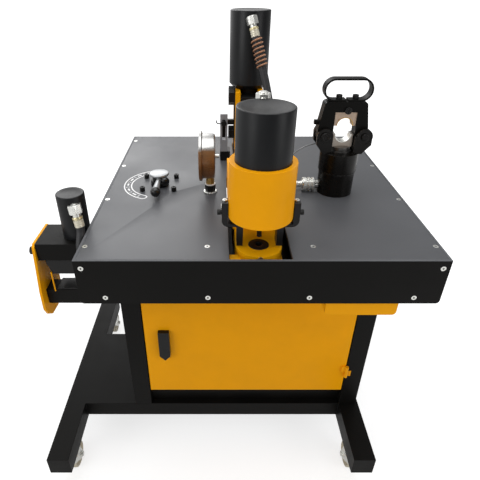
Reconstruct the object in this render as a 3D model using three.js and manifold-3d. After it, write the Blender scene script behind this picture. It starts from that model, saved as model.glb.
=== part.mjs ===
// Busbar processing machine: a table on casters with a punching, a shearing, a bending and a
// crimping station, each with its own hydraulic cylinder. Millimetres, +Z up, floor at z = 0.
import * as THREE from 'three';
import { mergeVertices } from 'three/addons/utils/BufferGeometryUtils.js';
import Module from 'manifold-3d';

const wasm = await Module();
wasm.setup();

// Gaps and laps
const clearance = 0.3;
const runClearance = 0.5;
const cutOver = 5;
const weldLap = 1;
const weldTolerance = 1e-4;

// Facet counts of round pieces
const fineSides = 40;
const midSides = 24;
const smallSides = 14;
const hexSides = 6;
const arcSteps = 8;

// Table and base
const tableWidth = 740;
const tableDepth = 740;
const tableHeight = 820;
const topThickness = 8;
const skirtThickness = 5;
const skirtHeight = 107;
const skirtCornerRadius = 8;
const footReach = 186;
const footSize = 60;
const footLength = 700;
const footRightSetback = 24;
const railSize = 50;
const deckThickness = 3;
const postSize = 50;
const postSetbackShare = 0.2473;
const frameDepthShare = 0.4081;
const postLeftInset = 28.5;
const postRightInset = 33;
const ringSize = 40;
const innerTubeWidth = 25;
const slotWidth = 125;
const slotLength = 395;
const slotTubeSetback = 4;
const windowGap = 2;

// Casters
const casterHeight = 98;
const casterPlateThickness = 4.5;
const casterPlateWidth = 58;
const casterPlateLength = 92;
const casterEndInset = 60;
const wheelRadius = 38;
const wheelWidth = 32;
const wheelSides = 28;
const wheelBoreRadius = 5.5;
const axleRadius = 5;
const axleNutRadius = 8;
const axleNutLength = 5;
const forkTrail = 35;
const forkSheet = 3.5;
const forkGap = 3;
const forkCrownThickness = 5;
const forkCrownWheelGap = 4;
const forkEarRadius = 13;
const forkLugReach = 9;
const raceRadius = 27;
const pedalWidth = 34;
const pedalLength = 54;
const pedalThickness = 5;
const pedalWheelGap = 3;
const pedalPinRadius = 3;
const pedalBend = 9;
const pedalPressed = THREE.MathUtils.degToRad(12);

// Punching station
const punchX = -2;
const punchSetback = 68;
const headRadius = 64.5;
const headBottom = 65;
const headHeight = 115;
const headLedge = 8;
const headLedgeRadius = 40;
const punchCylinderRadius = 53.5;
const punchCylinderTop = 280;
const punchCylinderCap = 30;
const spineHalfWidth = 52;
const throatDepth = 67;
const spineThickness = 85;
const spineTop = 125;
const holderRadius = 48;
const holderTop = -5;
const holderThickness = 25;
const punchBaseBottom = -105;
const punchBaseHalfWidth = 49;
const punchBaseFront = 60;
const punchFlangeDepth = 140;
const punchFlangeThickness = 12;
const dieRadius = 21.5;
const dieThickness = 22;
const dieHoleRadius = 7.5;
const slugHoleRadius = 12;
const punchRamRadius = 30;
const punchRamBottom = 50;
const punchRamTop = 150;
const punchTipRadius = 5.3;
const punchTipBottom = 15;
const setScrewRadius = 3;
const setScrewDrop = 9;
const setScrewDepth = 12;
const fingerInner = 34;
const fingerThickness = 12.5;
const fingerHalfDepth = 14;
const stripperPlateBottom = 43;
const stripperPlateThickness = 6;
const lugThickness = 12;
const lugHalfDepth = 12;
const lugTop = 96;
const lugCornerRadius = 14;
const bridgeDepth = 24;
const bridgeSetback = 34;
const thumbScrewRadius = 5;
const thumbScrewLength = 9;
const thumbScrewHeight = 71;
const lugScrewRadius = 4;
const lugScrewHeight = 3;
const sideBlockWidth = 24;
const sideBlockLength = 44;
const sideBlockHeight = 10;

// Shearing station
const shearSetbackShare = 0.196;
const shearPlateInner = 25;
const shearPlateThickness = 14;
const shearHalfDepth = 75;
const shearPlateTop = 196.7;
const shearPlateBottom = -80;
const shearBackThickness = 25;
const shearThroatBottom = 25;
const shearThroatHeight = 38;
const shearThroatBack = 30;
const shearFlangeThickness = 12;
const shearCylinderRadius = 54;
const shearCylinderHeight = 196;
const shearCylinderChamfer = 10;
const shearBoreRadius = 26;
const shearCylinderCap = 30;
const shearRodTop = 290;
const shearRodRadius = 25;
const ramBottom = 85;
const ramTop = 182;
const ramFront = 72;
const ramBack = 45;
const bladeThickness = 11;
const bladeDrop = 24;
const bladeRise = 10;
const lowerBladeHeight = 24;
const shearBaseTop = 4;

// Hold-down at the left of the shear
const holdX = -70;
const holdWidth = 21;
const holdThickness = 8;
const holdBottom = 31.5;
const holdTop = 139;
const holdSlotWidth = 9;
const holdSlotBottom = 66;
const holdSlotTop = 124;
const holdScrewHeight = 115;
const holdScrewRadius = 3.8;
const holdScrewHeadRadius = 7;
const holdScrewHeadLength = 8;
const holdWingReach = 22;
const holdWingThickness = 4;
const holdBarHeight = 14;
const holdBarDepth = 12;
const restTop = 29;
const restWidth = 29;
const restDepth = 40;
const guideDepth = 30;
const sideNutLength = 18;
const lowNutHeight = 82;
const lowNutRadius = 19;
const highNutHeight = 183;
const highNutRadius = 26;
const backingHalfWidth = 6.5;
const backingBottom = 71;
const backingTop = 128;
const bracketTop = 208;
const bracketSheet = 3;
const bracketFootTop = 8;

// Bending station
const bendOutset = 31.5;
const bendSetback = 142;
const bendReach = 114;
const boxTopDrop = 25;
const boxHeight = 42;
const boxHalfDepth = 44;
const endPlateThickness = 6;
const endPlateWidth = 115;
const endPlateHeight = 205;
const endPlateBack = 48;
const endPlateShares = [
  [0, 0], [0.765, 0], [0.826, 0.034], [0.896, 0.283], [0.983, 0.561], [1, 0.8], [0.913, 0.902],
  [0.748, 0.98], [0.409, 1], [0.217, 0.951], [0.026, 0.78],
];
const bendCylinderRadius = 30;
const bendCylinderHeight = 103;
const bendCylinderCap = 16;
const bendRodRadius = 15;
const bendRodTop = 60;
const jawLeftInset = 15.5;
const jawRightInset = 7;
const jawFront = 43;
const jawBlockHeight = 36.7;
const jawChamferWidth = 9.5;
const jawChamferHeight = 26.7;
const jawOpening = 40;
const noseGap = 1.5;
const noseDepth = 25;
const noseHeight = 16;
const lowerJawThickness = 4;
const lowerJawInset = 27.5;
const beamHeight = 40;
const beamDepth = 40.5;
const boltHeadRadius = 8;
const boltHeadLength = 8;
const boltInset = 10;

// Crimping head
const crimpInset = 161.5;
const crimpSetback = 317;
const crimpBaseRadius = 43.5;
const crimpCollarRadius = 46;
const crimpCollarBottom = 61;
const crimpBodyTop = 108;
const crimpBoreRadius = 27;
const crimpPistonRadius = 26.5;
const crimpPistonBottom = 40;
const crimpPistonTop = 121;
const crimpPistonShoulder = 111;
const earCentreHeight = 148;
const earSpan = 92;
const earShift = 1.5;
const earRadius = 19;
const earThickness = 10;
const earInset = 0.5;
const earWaist = 19;
const yokeHalfThickness = 15;
const yokePinRadius = 8;
const yokeEyeRadius = 17;
const yokeTop = 226.5;
const yokeShoulder = 165;
const yokeTopInset = 9;
const yokeRightInset = 9;
const yokeCornerRadius = 10;
const windowHalfWidth = 25.5;
const windowTop = 203;
const dieHalfDepth = 12;
const dieInset = 0.3;
const lowerDieInset = 2;
const upperDieHeight = 31.5;
const lowerDieTop = 151;
const dieArchRadius = 19.5;
const handleHalfWidth = 55.5;
const handleHeight = 50;
const handleBand = 4;
const handleHalfDepth = 13;
const handleOpening = 5;
const handleShift = 1.5;
const pinHeadRadius = 11;
const pinHeadLength = 5;
const latchKnobRadius = 6;
const latchKnobReach = 8;
const latchKnobHeight = 177;
const hookClearance = 2;
const couplerHeight = 18;
const couplerReach = 40;
const couplerRadius = 12;
const collarRadius = 17;
const collarLength = 30;
const nippleRadius = 7;
const nippleReach = 55;

// Selector valve
const valveInset = 131;
const valveRearward = 20;
const valveHalf = 50;
const valveDrop = 120;
const valveBossRadius = 23;
const valveBossHeight = 14;
const valveBoltSpacing = 80;
const valveBoltRadius = 4;
const valveBoltHeadRadius = 6.5;
const valveBoltHeadHeight = 11;
const valvePortRise = 35;
const valvePortSpacing = 30;
const valvePortLength = 12;
const valvePortRadius = 12;
const hubRadius = 18;
const hubHeight = 12;
const capRadius = 25;
const capThickness = 7;
const leverLength = 89;
const leverRootRadius = 4.5;
const leverTipRadius = 8;
const leverLap = 2;
const knobRadius = 12.5;

// Pressure gauge
const gaugeOffset = 104;
const gaugeForward = 44;
const gaugeCentreHeight = 95;
const gaugeCaseRadius = 54;
const gaugeCaseDepth = 31;
const gaugeCaseRear = 13;
const bezelRadius = 60;
const bezelDepth = 8;
const dialRadius = 52;
const dialDepth = 10;
const lensThickness = 2;
const lensSetback = 1.5;
const pointerLength = 40;
const pointerTail = 12;
const pointerWidth = 3;
const pointerThickness = 1;
const pointerHubRadius = 5;
const pointerPivotLength = 2;
const pointerPivotRadius = 1.5;
const stemRadius = 10;
const stemNutRadius = 13.5;
const stemNutHeight = 17;
const stemWasherRadius = 17;
const stemWasherThickness = 3.7;
const stemThreadRadius = 8;
const stemDrop = 44;
const stemLap = 3;
const pipeRise = 8;
const gaugePipeRadius = 4;
const gaugePlugRadius = 5;
const gaugePlugLength = 10;

// Port fittings on the cylinders
const nutRadius = 16;
const nutLength = 14;
const ferruleRadius = 11;
const ferruleLength = 26;
const punchNeckRadius = 11;
const bendNeckRadius = 13;

// Cabinet and what it holds
const shellWall = 2;
const shellTopDrop = 125;
const doorBottomRise = 63;
const doorTopDrop = 175;
const doorLap = 25;
const doorThickness = 18;
const doorSheet = 2;
const doorGap = 3;
const doorRecess = 0.5;
const shellDoorGap = 2.5;
const barrelRadius = 5;
const barrelLength = 40;
const hingePinRadius = 2.4;
const hingeTab = 10;
const hingeTabThickness = 2;
const hingePostGap = 1;
const lowerHingeRise = 64;
const upperHingeDrop = 99;
const latchInset = 56.5;
const latchWidth = 30;
const latchHeight = 104;
const latchBottomRise = 139;
const latchThickness = 13;
const latchShaftRadius = 6;
const latchCamLength = 34;
const latchCamThickness = 4;
const latchPivotDrop = 18;
const latchTip = 16;
const tankInset = 21;
const tankFrontGap = 20;
const tankWidth = 330;
const tankDepthShare = 0.737;
const tankHeightShare = 0.4;
const motorOffset = 90;
const motorRadius = 72;
const motorHeightShare = 0.438;
const motorFanRadius = 66;
const motorFanHeight = 20;
const pumpHalf = 38;
const pumpHeight = 100;
const supplyRadius = 8;

// Die tray behind the front skirt
const trayInset = 231;
const trayWidth = 151;
const trayDepth = 100;
const trayFloorDrop = 143;
const trayLip = 45;
const traySheet = 2.5;
const trayFlangeDepth = 36;
const trayCornerRadius = 9;

// Hoses
const hoseSides = 10;
const shearHoseRadius = 10;
const punchHoseRadius = 9;
const bendHoseRadius = 9;
const crimpHoseRadius = 7;
const wireRadius = 1.2;
const wireSides = 8;

// Derived places
const tableX = footReach / 2;
const left = -tableWidth / 2;
const right = tableWidth / 2;
const front = -tableDepth / 2;
const rear = tableDepth / 2;
const footTop = casterHeight + footSize;
const frameFront = front + tableDepth * postSetbackShare;
const frameRear = frameFront + tableDepth * frameDepthShare;
const postLeft = left + postLeftInset;
const postRight = right - postRightInset;
const ringTop = tableHeight - topThickness - clearance;
const ringBottom = ringTop - ringSize;
const ringReachX = right - skirtThickness - clearance;
const ringReachY = rear - skirtThickness - clearance;
const punchY = front + punchSetback;
const shearY = rear - tableDepth * shearSetbackShare;
const bendX = left - bendOutset;
const crimpX = right - crimpInset;
const crimpY = front + crimpSetback;
const valveX = left + valveInset;
const valveY = (frameFront + frameRear) / 2 + valveRearward;
const gaugeX = punchX - gaugeOffset;
const gaugeY = valveY - gaugeForward;
const shearHalfWidth = shearPlateInner + shearPlateThickness;
const slotEdge = slotWidth / 2;
const slotRear = front + slotLength;

// Materials
function paint(color, roughness, metalness) {
  return new THREE.MeshStandardMaterial({ color, roughness, metalness });
}
const blackPaint = paint(0x26272a, 0.45, 0.1);
const greyTop = paint(0x55575c, 0.5, 0.1);
const yellowPaint = paint(0xf3b20c, 0.4, 0.05);
const blackOxide = paint(0x1c1c1e, 0.5, 0.6);
const zinc = paint(0xc9ccd0, 0.35, 0.9);
const toolSteel = paint(0x8d8f93, 0.4, 0.9);
const tanSteel = paint(0xb79d86, 0.5, 0.5);
const rubber = paint(0x1f2022, 0.75, 0);
const springBrown = paint(0x8a5a3c, 0.55, 0.2);
const nylon = paint(0xe4dcc6, 0.6, 0);
const glass = paint(0xdfe8ee, 0.1, 0);
const pointerBlack = paint(0x1a1a1a, 0.5, 0);
const motorGrey = paint(0x5f6b76, 0.5, 0.3);

// Solids
function toSolid(geometry) {
  const bare = geometry.clone();
  bare.deleteAttribute('normal');
  bare.deleteAttribute('uv');
  const merged = mergeVertices(bare, weldTolerance);
  const index = merged.index.array;
  const triangles = [];
  for (let i = 0; i < index.length; i += 3) {
    const [a, b, c] = [index[i], index[i + 1], index[i + 2]];
    if (a !== b && b !== c && a !== c) triangles.push(a, b, c);
  }
  return new wasm.Manifold(new wasm.Mesh({
    numProp: 3,
    vertProperties: new Float32Array(merged.attributes.position.array),
    triVerts: new Uint32Array(triangles),
  }));
}

function block(x0, x1, y0, y1, z0, z1) {
  const geometry = new THREE.BoxGeometry(x1 - x0, y1 - y0, z1 - z0);
  geometry.translate((x0 + x1) / 2, (y0 + y1) / 2, (z0 + z1) / 2);
  return toSolid(geometry);
}

// A cone frustum or cylinder from point a to point b
function rod(a, b, radiusA, radiusB = radiusA, sides = midSides) {
  const start = new THREE.Vector3(...a);
  const along = new THREE.Vector3(...b).sub(start);
  const geometry = new THREE.CylinderGeometry(radiusB, radiusA, along.length(), sides);
  const up = new THREE.Vector3(0, 1, 0);
  const turn = new THREE.Quaternion().setFromUnitVectors(up, along.clone().normalize());
  geometry.applyQuaternion(turn);
  const middle = start.clone().addScaledVector(along, 1 / 2);
  geometry.translate(middle.x, middle.y, middle.z);
  return toSolid(geometry);
}

function upright(x, y, z0, z1, radius, sides = midSides) {
  return rod([x, y, z0], [x, y, z1], radius, radius, sides);
}

// An outline in X and Z carried along Y from y0 to y1
function slabXZ(shape, y0, y1) {
  const geometry = new THREE.ExtrudeGeometry(shape,
    { depth: y1 - y0, bevelEnabled: false, curveSegments: arcSteps });
  geometry.rotateX(Math.PI / 2);
  geometry.translate(0, y1, 0);
  return toSolid(geometry);
}

// An outline in Y and Z carried along X from x0 to x1
function slabYZ(points, x0, x1) {
  const shape = new THREE.Shape(points.map(([y, z]) => new THREE.Vector2(y, z)));
  const geometry = new THREE.ExtrudeGeometry(shape, { depth: x1 - x0, bevelEnabled: false });
  geometry.rotateY(Math.PI / 2);
  geometry.rotateX(Math.PI / 2);
  geometry.translate(x0, 0, 0);
  return toSolid(geometry);
}

function ball(x, y, z, radius) {
  const geometry = new THREE.SphereGeometry(radius, midSides, smallSides);
  geometry.translate(x, y, z);
  return toSolid(geometry);
}

function fuse(...solids) {
  return solids.reduce((whole, next) => whole.add(next));
}

function cut(solid, ...tools) {
  return tools.reduce((whole, tool) => whole.subtract(tool), solid);
}

function addMesh(group, name, solid, material) {
  const source = solid.getMesh();
  const geometry = new THREE.BufferGeometry();
  geometry.setAttribute('position', new THREE.BufferAttribute(source.vertProperties, 3));
  geometry.setIndex(new THREE.BufferAttribute(source.triVerts, 1));
  geometry.computeVertexNormals();
  const mesh = new THREE.Mesh(geometry, material);
  mesh.name = name;
  group.add(mesh);
  return mesh;
}

function unit(x, y, z) {
  const group = new THREE.Group();
  group.position.set(x, y, z);
  machine.add(group);
  return group;
}

const machine = new THREE.Group();
machine.position.x = tableX;

// Base frame: two feet, two rails, the deck and the caster plates, welded into one piece
const footLeftX = left - footReach + footSize / 2;
const footRightX = right - footRightSetback - footSize / 2;
const footEnd = front + footLength;
const casterRows = [front + casterEndInset, footEnd - casterEndInset];

function buildBase() {
  const half = footSize / 2;
  const railLeft = footLeftX + half - weldLap;
  const railRight = footRightX - half + weldLap;
  const deckBottom = footTop - deckThickness;
  const railBottom = deckBottom - railSize;
  const parts = [
    block(footLeftX - half, footLeftX + half, front, footEnd, casterHeight, footTop),
    block(footRightX - half, footRightX + half, front, footEnd, casterHeight, footTop),
    block(railLeft, railRight, frameFront, frameRear, deckBottom, footTop),
    block(railLeft, railRight, frameFront, frameFront + railSize, railBottom, deckBottom + weldLap),
    block(railLeft, railRight, frameRear - railSize, frameRear, railBottom, deckBottom + weldLap),
  ];
  const plateHalf = casterPlateWidth / 2;
  const plateBottom = casterHeight - casterPlateThickness;
  for (const x of [footLeftX, footRightX]) {
    for (const y of casterRows) {
      const reach = casterPlateLength / 2;
      parts.push(block(x - plateHalf, x + plateHalf, y - reach, y + reach, plateBottom,
        casterHeight + weldLap));
    }
  }
  addMesh(machine, 'base_frame', fuse(...parts), blackPaint);
}

// A swivel caster; the wheel trails behind the swivel axis
function buildCaster(name, x, y, braked) {
  const caster = unit(x, y, 0);
  const axleHeight = wheelRadius * Math.cos(Math.PI / wheelSides);
  const crownTop = casterHeight - casterPlateThickness - runClearance;
  const crownBottom = axleHeight + wheelRadius + forkCrownWheelGap;
  const legInner = wheelWidth / 2 + forkGap;
  const legOuter = legInner + forkSheet;
  const legOutline = [
    [-raceRadius, crownBottom + forkCrownThickness], [-raceRadius, crownBottom],
    [forkTrail - forkEarRadius, axleHeight - forkEarRadius / 2],
    [forkTrail - forkEarRadius / 2, axleHeight - forkEarRadius],
    [forkTrail + forkEarRadius / 2, axleHeight - forkEarRadius],
    [forkTrail + forkEarRadius, axleHeight - forkEarRadius / 2],
    [raceRadius + forkLugReach, crownBottom - forkCrownThickness],
    [raceRadius + forkLugReach, crownBottom + forkCrownThickness],
  ];
  const crown = block(-legOuter, legOuter, -raceRadius, raceRadius, crownBottom,
    crownBottom + forkCrownThickness);
  const race = upright(0, 0, crownBottom + forkCrownThickness - weldLap, crownTop, raceRadius);
  const nutOuter = legOuter + axleNutLength;
  const axle = rod([-legOuter, forkTrail, axleHeight], [legOuter, forkTrail, axleHeight], axleRadius);
  const nuts = [-1, 1].map((side) => rod(
    [side * (legOuter - weldLap), forkTrail, axleHeight],
    [side * nutOuter, forkTrail, axleHeight],
    axleNutRadius, axleNutRadius, hexSides,
  ));
  const legs = [slabYZ(legOutline, -legOuter, -legInner), slabYZ(legOutline, legInner, legOuter)];
  const hingeY = raceRadius + pedalPinRadius + runClearance;
  const pedalBottom = axleHeight + wheelRadius + pedalWheelGap;
  const pinHeight = pedalBottom + pedalPinRadius;
  const pin = (reach, radius) => rod([-reach, hingeY, pinHeight], [reach, hingeY, pinHeight], radius,
    radius, smallSides);
  const whole = fuse(crown, race, axle, ...legs, ...nuts);
  const fork = braked ? cut(whole, pin(nutOuter, pedalPinRadius + clearance)) : whole;
  addMesh(caster, `${name}_fork`, fork, zinc);

  const half = wheelWidth / 2;
  const tyre = new THREE.CylinderGeometry(wheelRadius, wheelRadius, wheelWidth, wheelSides);
  tyre.rotateY(Math.PI / wheelSides);
  tyre.rotateZ(Math.PI / 2);
  tyre.translate(0, forkTrail, axleHeight);
  const bore = rod([-half - cutOver, forkTrail, axleHeight], [half + cutOver, forkTrail, axleHeight],
    wheelBoreRadius);
  addMesh(caster, `${name}_wheel`, cut(toSolid(tyre), bore), nylon);

  if (!braked) return;
  // The pedal turns on its pin in the fork's ears and is stored pressed, with the brake on
  const pedalHalf = pedalWidth / 2;
  const plate = block(-pedalHalf, pedalHalf, 0, pedalLength, -pedalPinRadius,
    pedalThickness - pedalPinRadius);
  const lip = block(-pedalHalf, pedalHalf, pedalLength - weldLap, pedalLength + pedalThickness,
    -pedalPinRadius, pedalThickness - pedalPinRadius + pedalBend);
  const shaft = rod([-legOuter, 0, 0], [legOuter, 0, 0], pedalPinRadius, pedalPinRadius, smallSides);
  const pedal = addMesh(caster, `${name}_brake_pedal`, fuse(plate, lip, shaft), blackPaint);
  pedal.position.set(0, hingeY, pinHeight);
  pedal.rotation.x = -pedalPressed;
}

// Posts and the tube ring under the table top, welded into one piece
function buildUprights() {
  const parts = [];
  const postColumns = [[postLeft, postLeft + postSize], [postRight - postSize, postRight]];
  const postRows = [[frameFront, frameFront + postSize], [frameRear - postSize, frameRear]];
  for (const [x0, x1] of postColumns) {
    for (const [y0, y1] of postRows) {
      parts.push(block(x0, x1, y0, y1, footTop + clearance, ringBottom + weldLap));
    }
  }
  const member = (x0, x1, y0, y1) => parts.push(block(x0, x1, y0, y1, ringBottom, ringTop));
  const innerRight = slotEdge + slotTubeSetback;
  const tubes = [
    [-ringReachX, -ringReachX + ringSize],
    [punchX - innerRight - innerTubeWidth, punchX - innerRight],
    [punchX + innerRight, punchX + innerRight + innerTubeWidth],
    [ringReachX - ringSize, ringReachX],
  ];
  for (const [x0, x1] of tubes) member(x0, x1, -ringReachY, ringReachY);
  for (const [y0, y1] of [[-ringReachY, -ringReachY + ringSize], postRows[0]]) {
    member(tubes[0][0], tubes[1][1], y0, y1);
    member(tubes[2][0], tubes[3][1], y0, y1);
  }
  for (const [y0, y1] of [postRows[1], [ringReachY - ringSize, ringReachY]]) {
    member(tubes[0][0], tubes[3][1], y0, y1);
  }
  addMesh(machine, 'upright_frame', fuse(...parts), blackPaint);
}

// Table top with its slot, window and holes, and the skirts round it
function buildTable() {
  const topBottom = tableHeight - topThickness;
  const through = (x, y, radius) => upright(x, y, topBottom - cutOver, tableHeight + cutOver,
    radius + runClearance);
  const slot = block(punchX - slotEdge, punchX + slotEdge, front - cutOver, slotRear, topBottom - cutOver,
    tableHeight + cutOver);
  const windowHalf = shearHalfWidth + windowGap;
  const windowCut = block(-windowHalf, windowHalf, shearY - shearHalfDepth - windowGap,
    shearY + shearHalfDepth + windowGap, topBottom - cutOver, tableHeight + cutOver);
  const boltHoles = [];
  for (const sx of [-1, 1]) {
    for (const sy of [-1, 1]) {
      const half = valveBoltSpacing / 2;
      boltHoles.push(through(valveX + sx * half, valveY + sy * half, valveBoltRadius));
    }
  }
  const plate = block(-ringReachX, ringReachX, -ringReachY, ringReachY, topBottom, tableHeight);
  const top = cut(plate, slot, windowCut, through(gaugeX, gaugeY, stemThreadRadius),
    through(valveX, valveY, valveBossRadius), ...boltHoles);
  addMesh(machine, 'table_top', top, greyTop);

  const skirtBottom = tableHeight - skirtHeight;
  const r = skirtCornerRadius;
  const face = new THREE.Shape();
  face.moveTo(left + r, skirtBottom);
  face.lineTo(right - r, skirtBottom);
  face.absarc(right - r, skirtBottom + r, r, -Math.PI / 2, 0);
  face.lineTo(right, tableHeight);
  face.lineTo(left, tableHeight);
  face.lineTo(left, skirtBottom + r);
  face.absarc(left + r, skirtBottom + r, r, Math.PI, Math.PI * 3 / 2);
  addMesh(machine, 'front_skirt', slabXZ(face, front, front + skirtThickness), blackPaint);

  const sideFront = front + skirtThickness + clearance;
  const sides = fuse(
    block(left, left + skirtThickness, sideFront, rear, skirtBottom, tableHeight),
    block(right - skirtThickness, right, sideFront, rear, skirtBottom, tableHeight),
    block(left, right, rear - skirtThickness, rear, skirtBottom, tableHeight),
  );
  addMesh(machine, 'side_skirt', sides, blackPaint);
}

// Open tray for dies, hung under the front tube by its tall front wall
function buildTray() {
  const trayLeft = right - trayInset;
  const trayRight = trayLeft + trayWidth;
  const trayFront = front + skirtThickness + clearance * 2;
  const trayRear = trayFront + trayDepth;
  const floor = tableHeight - trayFloorDrop;
  const hangTop = ringBottom - clearance;
  const profile = (inset, top) => {
    const r = trayCornerRadius - inset;
    const shape = new THREE.Shape();
    shape.moveTo(trayLeft + trayCornerRadius, floor + inset);
    shape.lineTo(trayRight - trayCornerRadius, floor + inset);
    shape.absarc(trayRight - trayCornerRadius, floor + trayCornerRadius, r, -Math.PI / 2, 0);
    shape.lineTo(trayRight - inset, top);
    shape.lineTo(trayLeft + inset, top);
    shape.absarc(trayLeft + trayCornerRadius, floor + trayCornerRadius, r, Math.PI, Math.PI * 3 / 2);
    return shape;
  };
  const tub = cut(
    slabXZ(profile(0, floor + trayLip), trayFront, trayRear),
    slabXZ(profile(traySheet, floor + trayLip + cutOver), trayFront + traySheet, trayRear - traySheet),
  );
  const wall = slabXZ(profile(0, hangTop), trayFront, trayFront + traySheet);
  const flange = block(trayLeft, trayRight, trayFront, trayFront + trayFlangeDepth, hangTop - traySheet,
    hangTop);
  addMesh(machine, 'die_tray', fuse(tub, wall, flange), yellowPaint);
}

// Cabinet shell, door, lift-off hinges and latch
function buildCabinet() {
  const shellLeft = postLeft + postSize + clearance;
  const shellRight = postRight - postSize - clearance;
  const doorFace = frameFront + doorRecess;
  const doorBack = doorFace + doorThickness;
  const shellFront = doorBack + shellDoorGap;
  const shellRear = frameRear - postSize - clearance;
  const floor = footTop + clearance;
  const shellTop = tableHeight - shellTopDrop;
  const doorLeft = postLeft + postSize + doorGap;
  const doorRight = postRight - postSize - doorGap;
  const doorBottom = footTop + doorBottomRise;
  const doorTop = tableHeight - doorTopDrop;
  const shell = cut(
    block(shellLeft, shellRight, shellFront, shellRear, floor, shellTop),
    block(shellLeft + shellWall, shellRight - shellWall, shellFront + shellWall, shellRear - shellWall,
      floor + shellWall, shellTop - shellWall),
    block(doorLeft + doorLap, doorRight - doorLap, shellFront - cutOver, shellFront + shellWall + cutOver,
      doorBottom + doorLap, doorTop - doorLap),
    upright(valveX, valveY, shellTop - shellWall - cutOver, shellTop + cutOver,
      supplyRadius + runClearance),
  );
  addMesh(machine, 'cabinet_shell', shell, blackPaint);

  const hingeX = postRight - postSize - hingePostGap;
  const hingeY = frameFront - barrelRadius - runClearance;
  const split = barrelLength / 2;
  const hingeHeights = [doorBottom + lowerHingeRise, doorTop - upperHingeDrop];
  const latchX = postLeft + postSize + latchInset;
  const latchZ = doorBottom + latchBottomRise + latchHeight - latchPivotDrop;
  const pocketRear = doorBack + cutOver;
  let door = cut(
    block(doorLeft, doorRight, doorFace, doorBack, doorBottom, doorTop),
    block(doorLeft + doorSheet, doorRight - doorSheet, doorFace + doorSheet, pocketRear,
      doorBottom + doorSheet, doorTop - doorSheet),
    rod([latchX, doorFace - cutOver, latchZ], [latchX, pocketRear, latchZ],
      latchShaftRadius + runClearance),
  );
  for (const z of hingeHeights) {
    const tabLeft = hingeX - hingeTab - barrelRadius;
    door = fuse(
      door,
      upright(hingeX, hingeY, z + split + clearance, z + barrelLength, barrelRadius, smallSides),
      block(tabLeft, hingeX, hingeY, hingeY + hingeTabThickness, z + split + clearance, z + barrelLength),
      block(tabLeft, tabLeft + hingeTab, hingeY, doorFace + weldLap, z + split + clearance,
        z + barrelLength),
    );
    door = cut(door, upright(hingeX, hingeY, z, z + barrelLength + cutOver, hingePinRadius + clearance,
      smallSides));
  }
  addMesh(machine, 'door', door, yellowPaint);

  const hingeNames = ['hinge_lower', 'hinge_upper'];
  hingeHeights.forEach((z, i) => {
    const fixed = fuse(
      upright(hingeX, hingeY, z, z + split, barrelRadius, smallSides),
      upright(hingeX, hingeY, z + split - weldLap, z + barrelLength, hingePinRadius, smallSides),
      block(hingeX, hingeX + barrelRadius + hingeTab, frameFront - clearance - hingeTabThickness,
        frameFront - clearance, z, z + split),
    );
    addMesh(machine, hingeNames[i], fixed, yellowPaint);
  });

  const half = latchWidth / 2;
  const low = doorBottom + latchBottomRise;
  const plate = new THREE.Shape();
  plate.moveTo(latchX, low);
  plate.lineTo(latchX + half, low + latchTip);
  plate.lineTo(latchX + half, low + latchHeight);
  plate.lineTo(latchX - half, low + latchHeight);
  plate.lineTo(latchX - half, low + latchTip);
  const latchFace = doorFace - clearance;
  const camFront = doorFace + doorSheet + runClearance;
  const latch = fuse(
    slabXZ(plate, latchFace - latchThickness, latchFace),
    rod([latchX, latchFace - weldLap, latchZ], [latchX, camFront + latchCamThickness, latchZ],
      latchShaftRadius),
    block(latchX - latchShaftRadius, latchX + latchShaftRadius, camFront, camFront + latchCamThickness,
      latchZ - latchCamLength, latchZ + latchShaftRadius),
  );
  addMesh(machine, 'door_latch', latch, blackOxide);

  const tankBottom = floor + shellWall + clearance;
  const tankLeft = shellLeft + tankInset;
  const tankRight = tankLeft + tankWidth;
  const tankFront = shellFront + tankFrontGap;
  const tankRear = tankFront + (shellRear - shellFront) * tankDepthShare;
  const tankTop = tankBottom + (shellTop - floor) * tankHeightShare;
  const tank = block(tankLeft, tankRight, tankFront, tankRear, tankBottom, tankTop);
  addMesh(machine, 'oil_tank', tank, blackPaint);
  const motorX = tankRight - motorOffset;
  const motorY = (tankFront + tankRear) / 2;
  const motorBottom = tankTop + clearance;
  const motorTop = motorBottom + (shellTop - floor) * motorHeightShare;
  addMesh(machine, 'pump_motor', fuse(
    upright(motorX, motorY, motorBottom, motorTop, motorRadius, fineSides),
    upright(motorX, motorY, motorTop - weldLap, motorTop + motorFanHeight, motorFanRadius, fineSides),
  ), motorGrey);
  const pumpTop = motorBottom + pumpHeight;
  const valveBottom = tableHeight - valveDrop;
  addMesh(machine, 'pump_block', fuse(
    block(valveX - pumpHalf / 2, valveX + pumpHalf, valveY - pumpHalf, valveY + pumpHalf, motorBottom,
      pumpTop),
    upright(valveX, valveY, pumpTop - weldLap, valveBottom - clearance, supplyRadius, smallSides),
  ), toolSteel);
}

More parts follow.
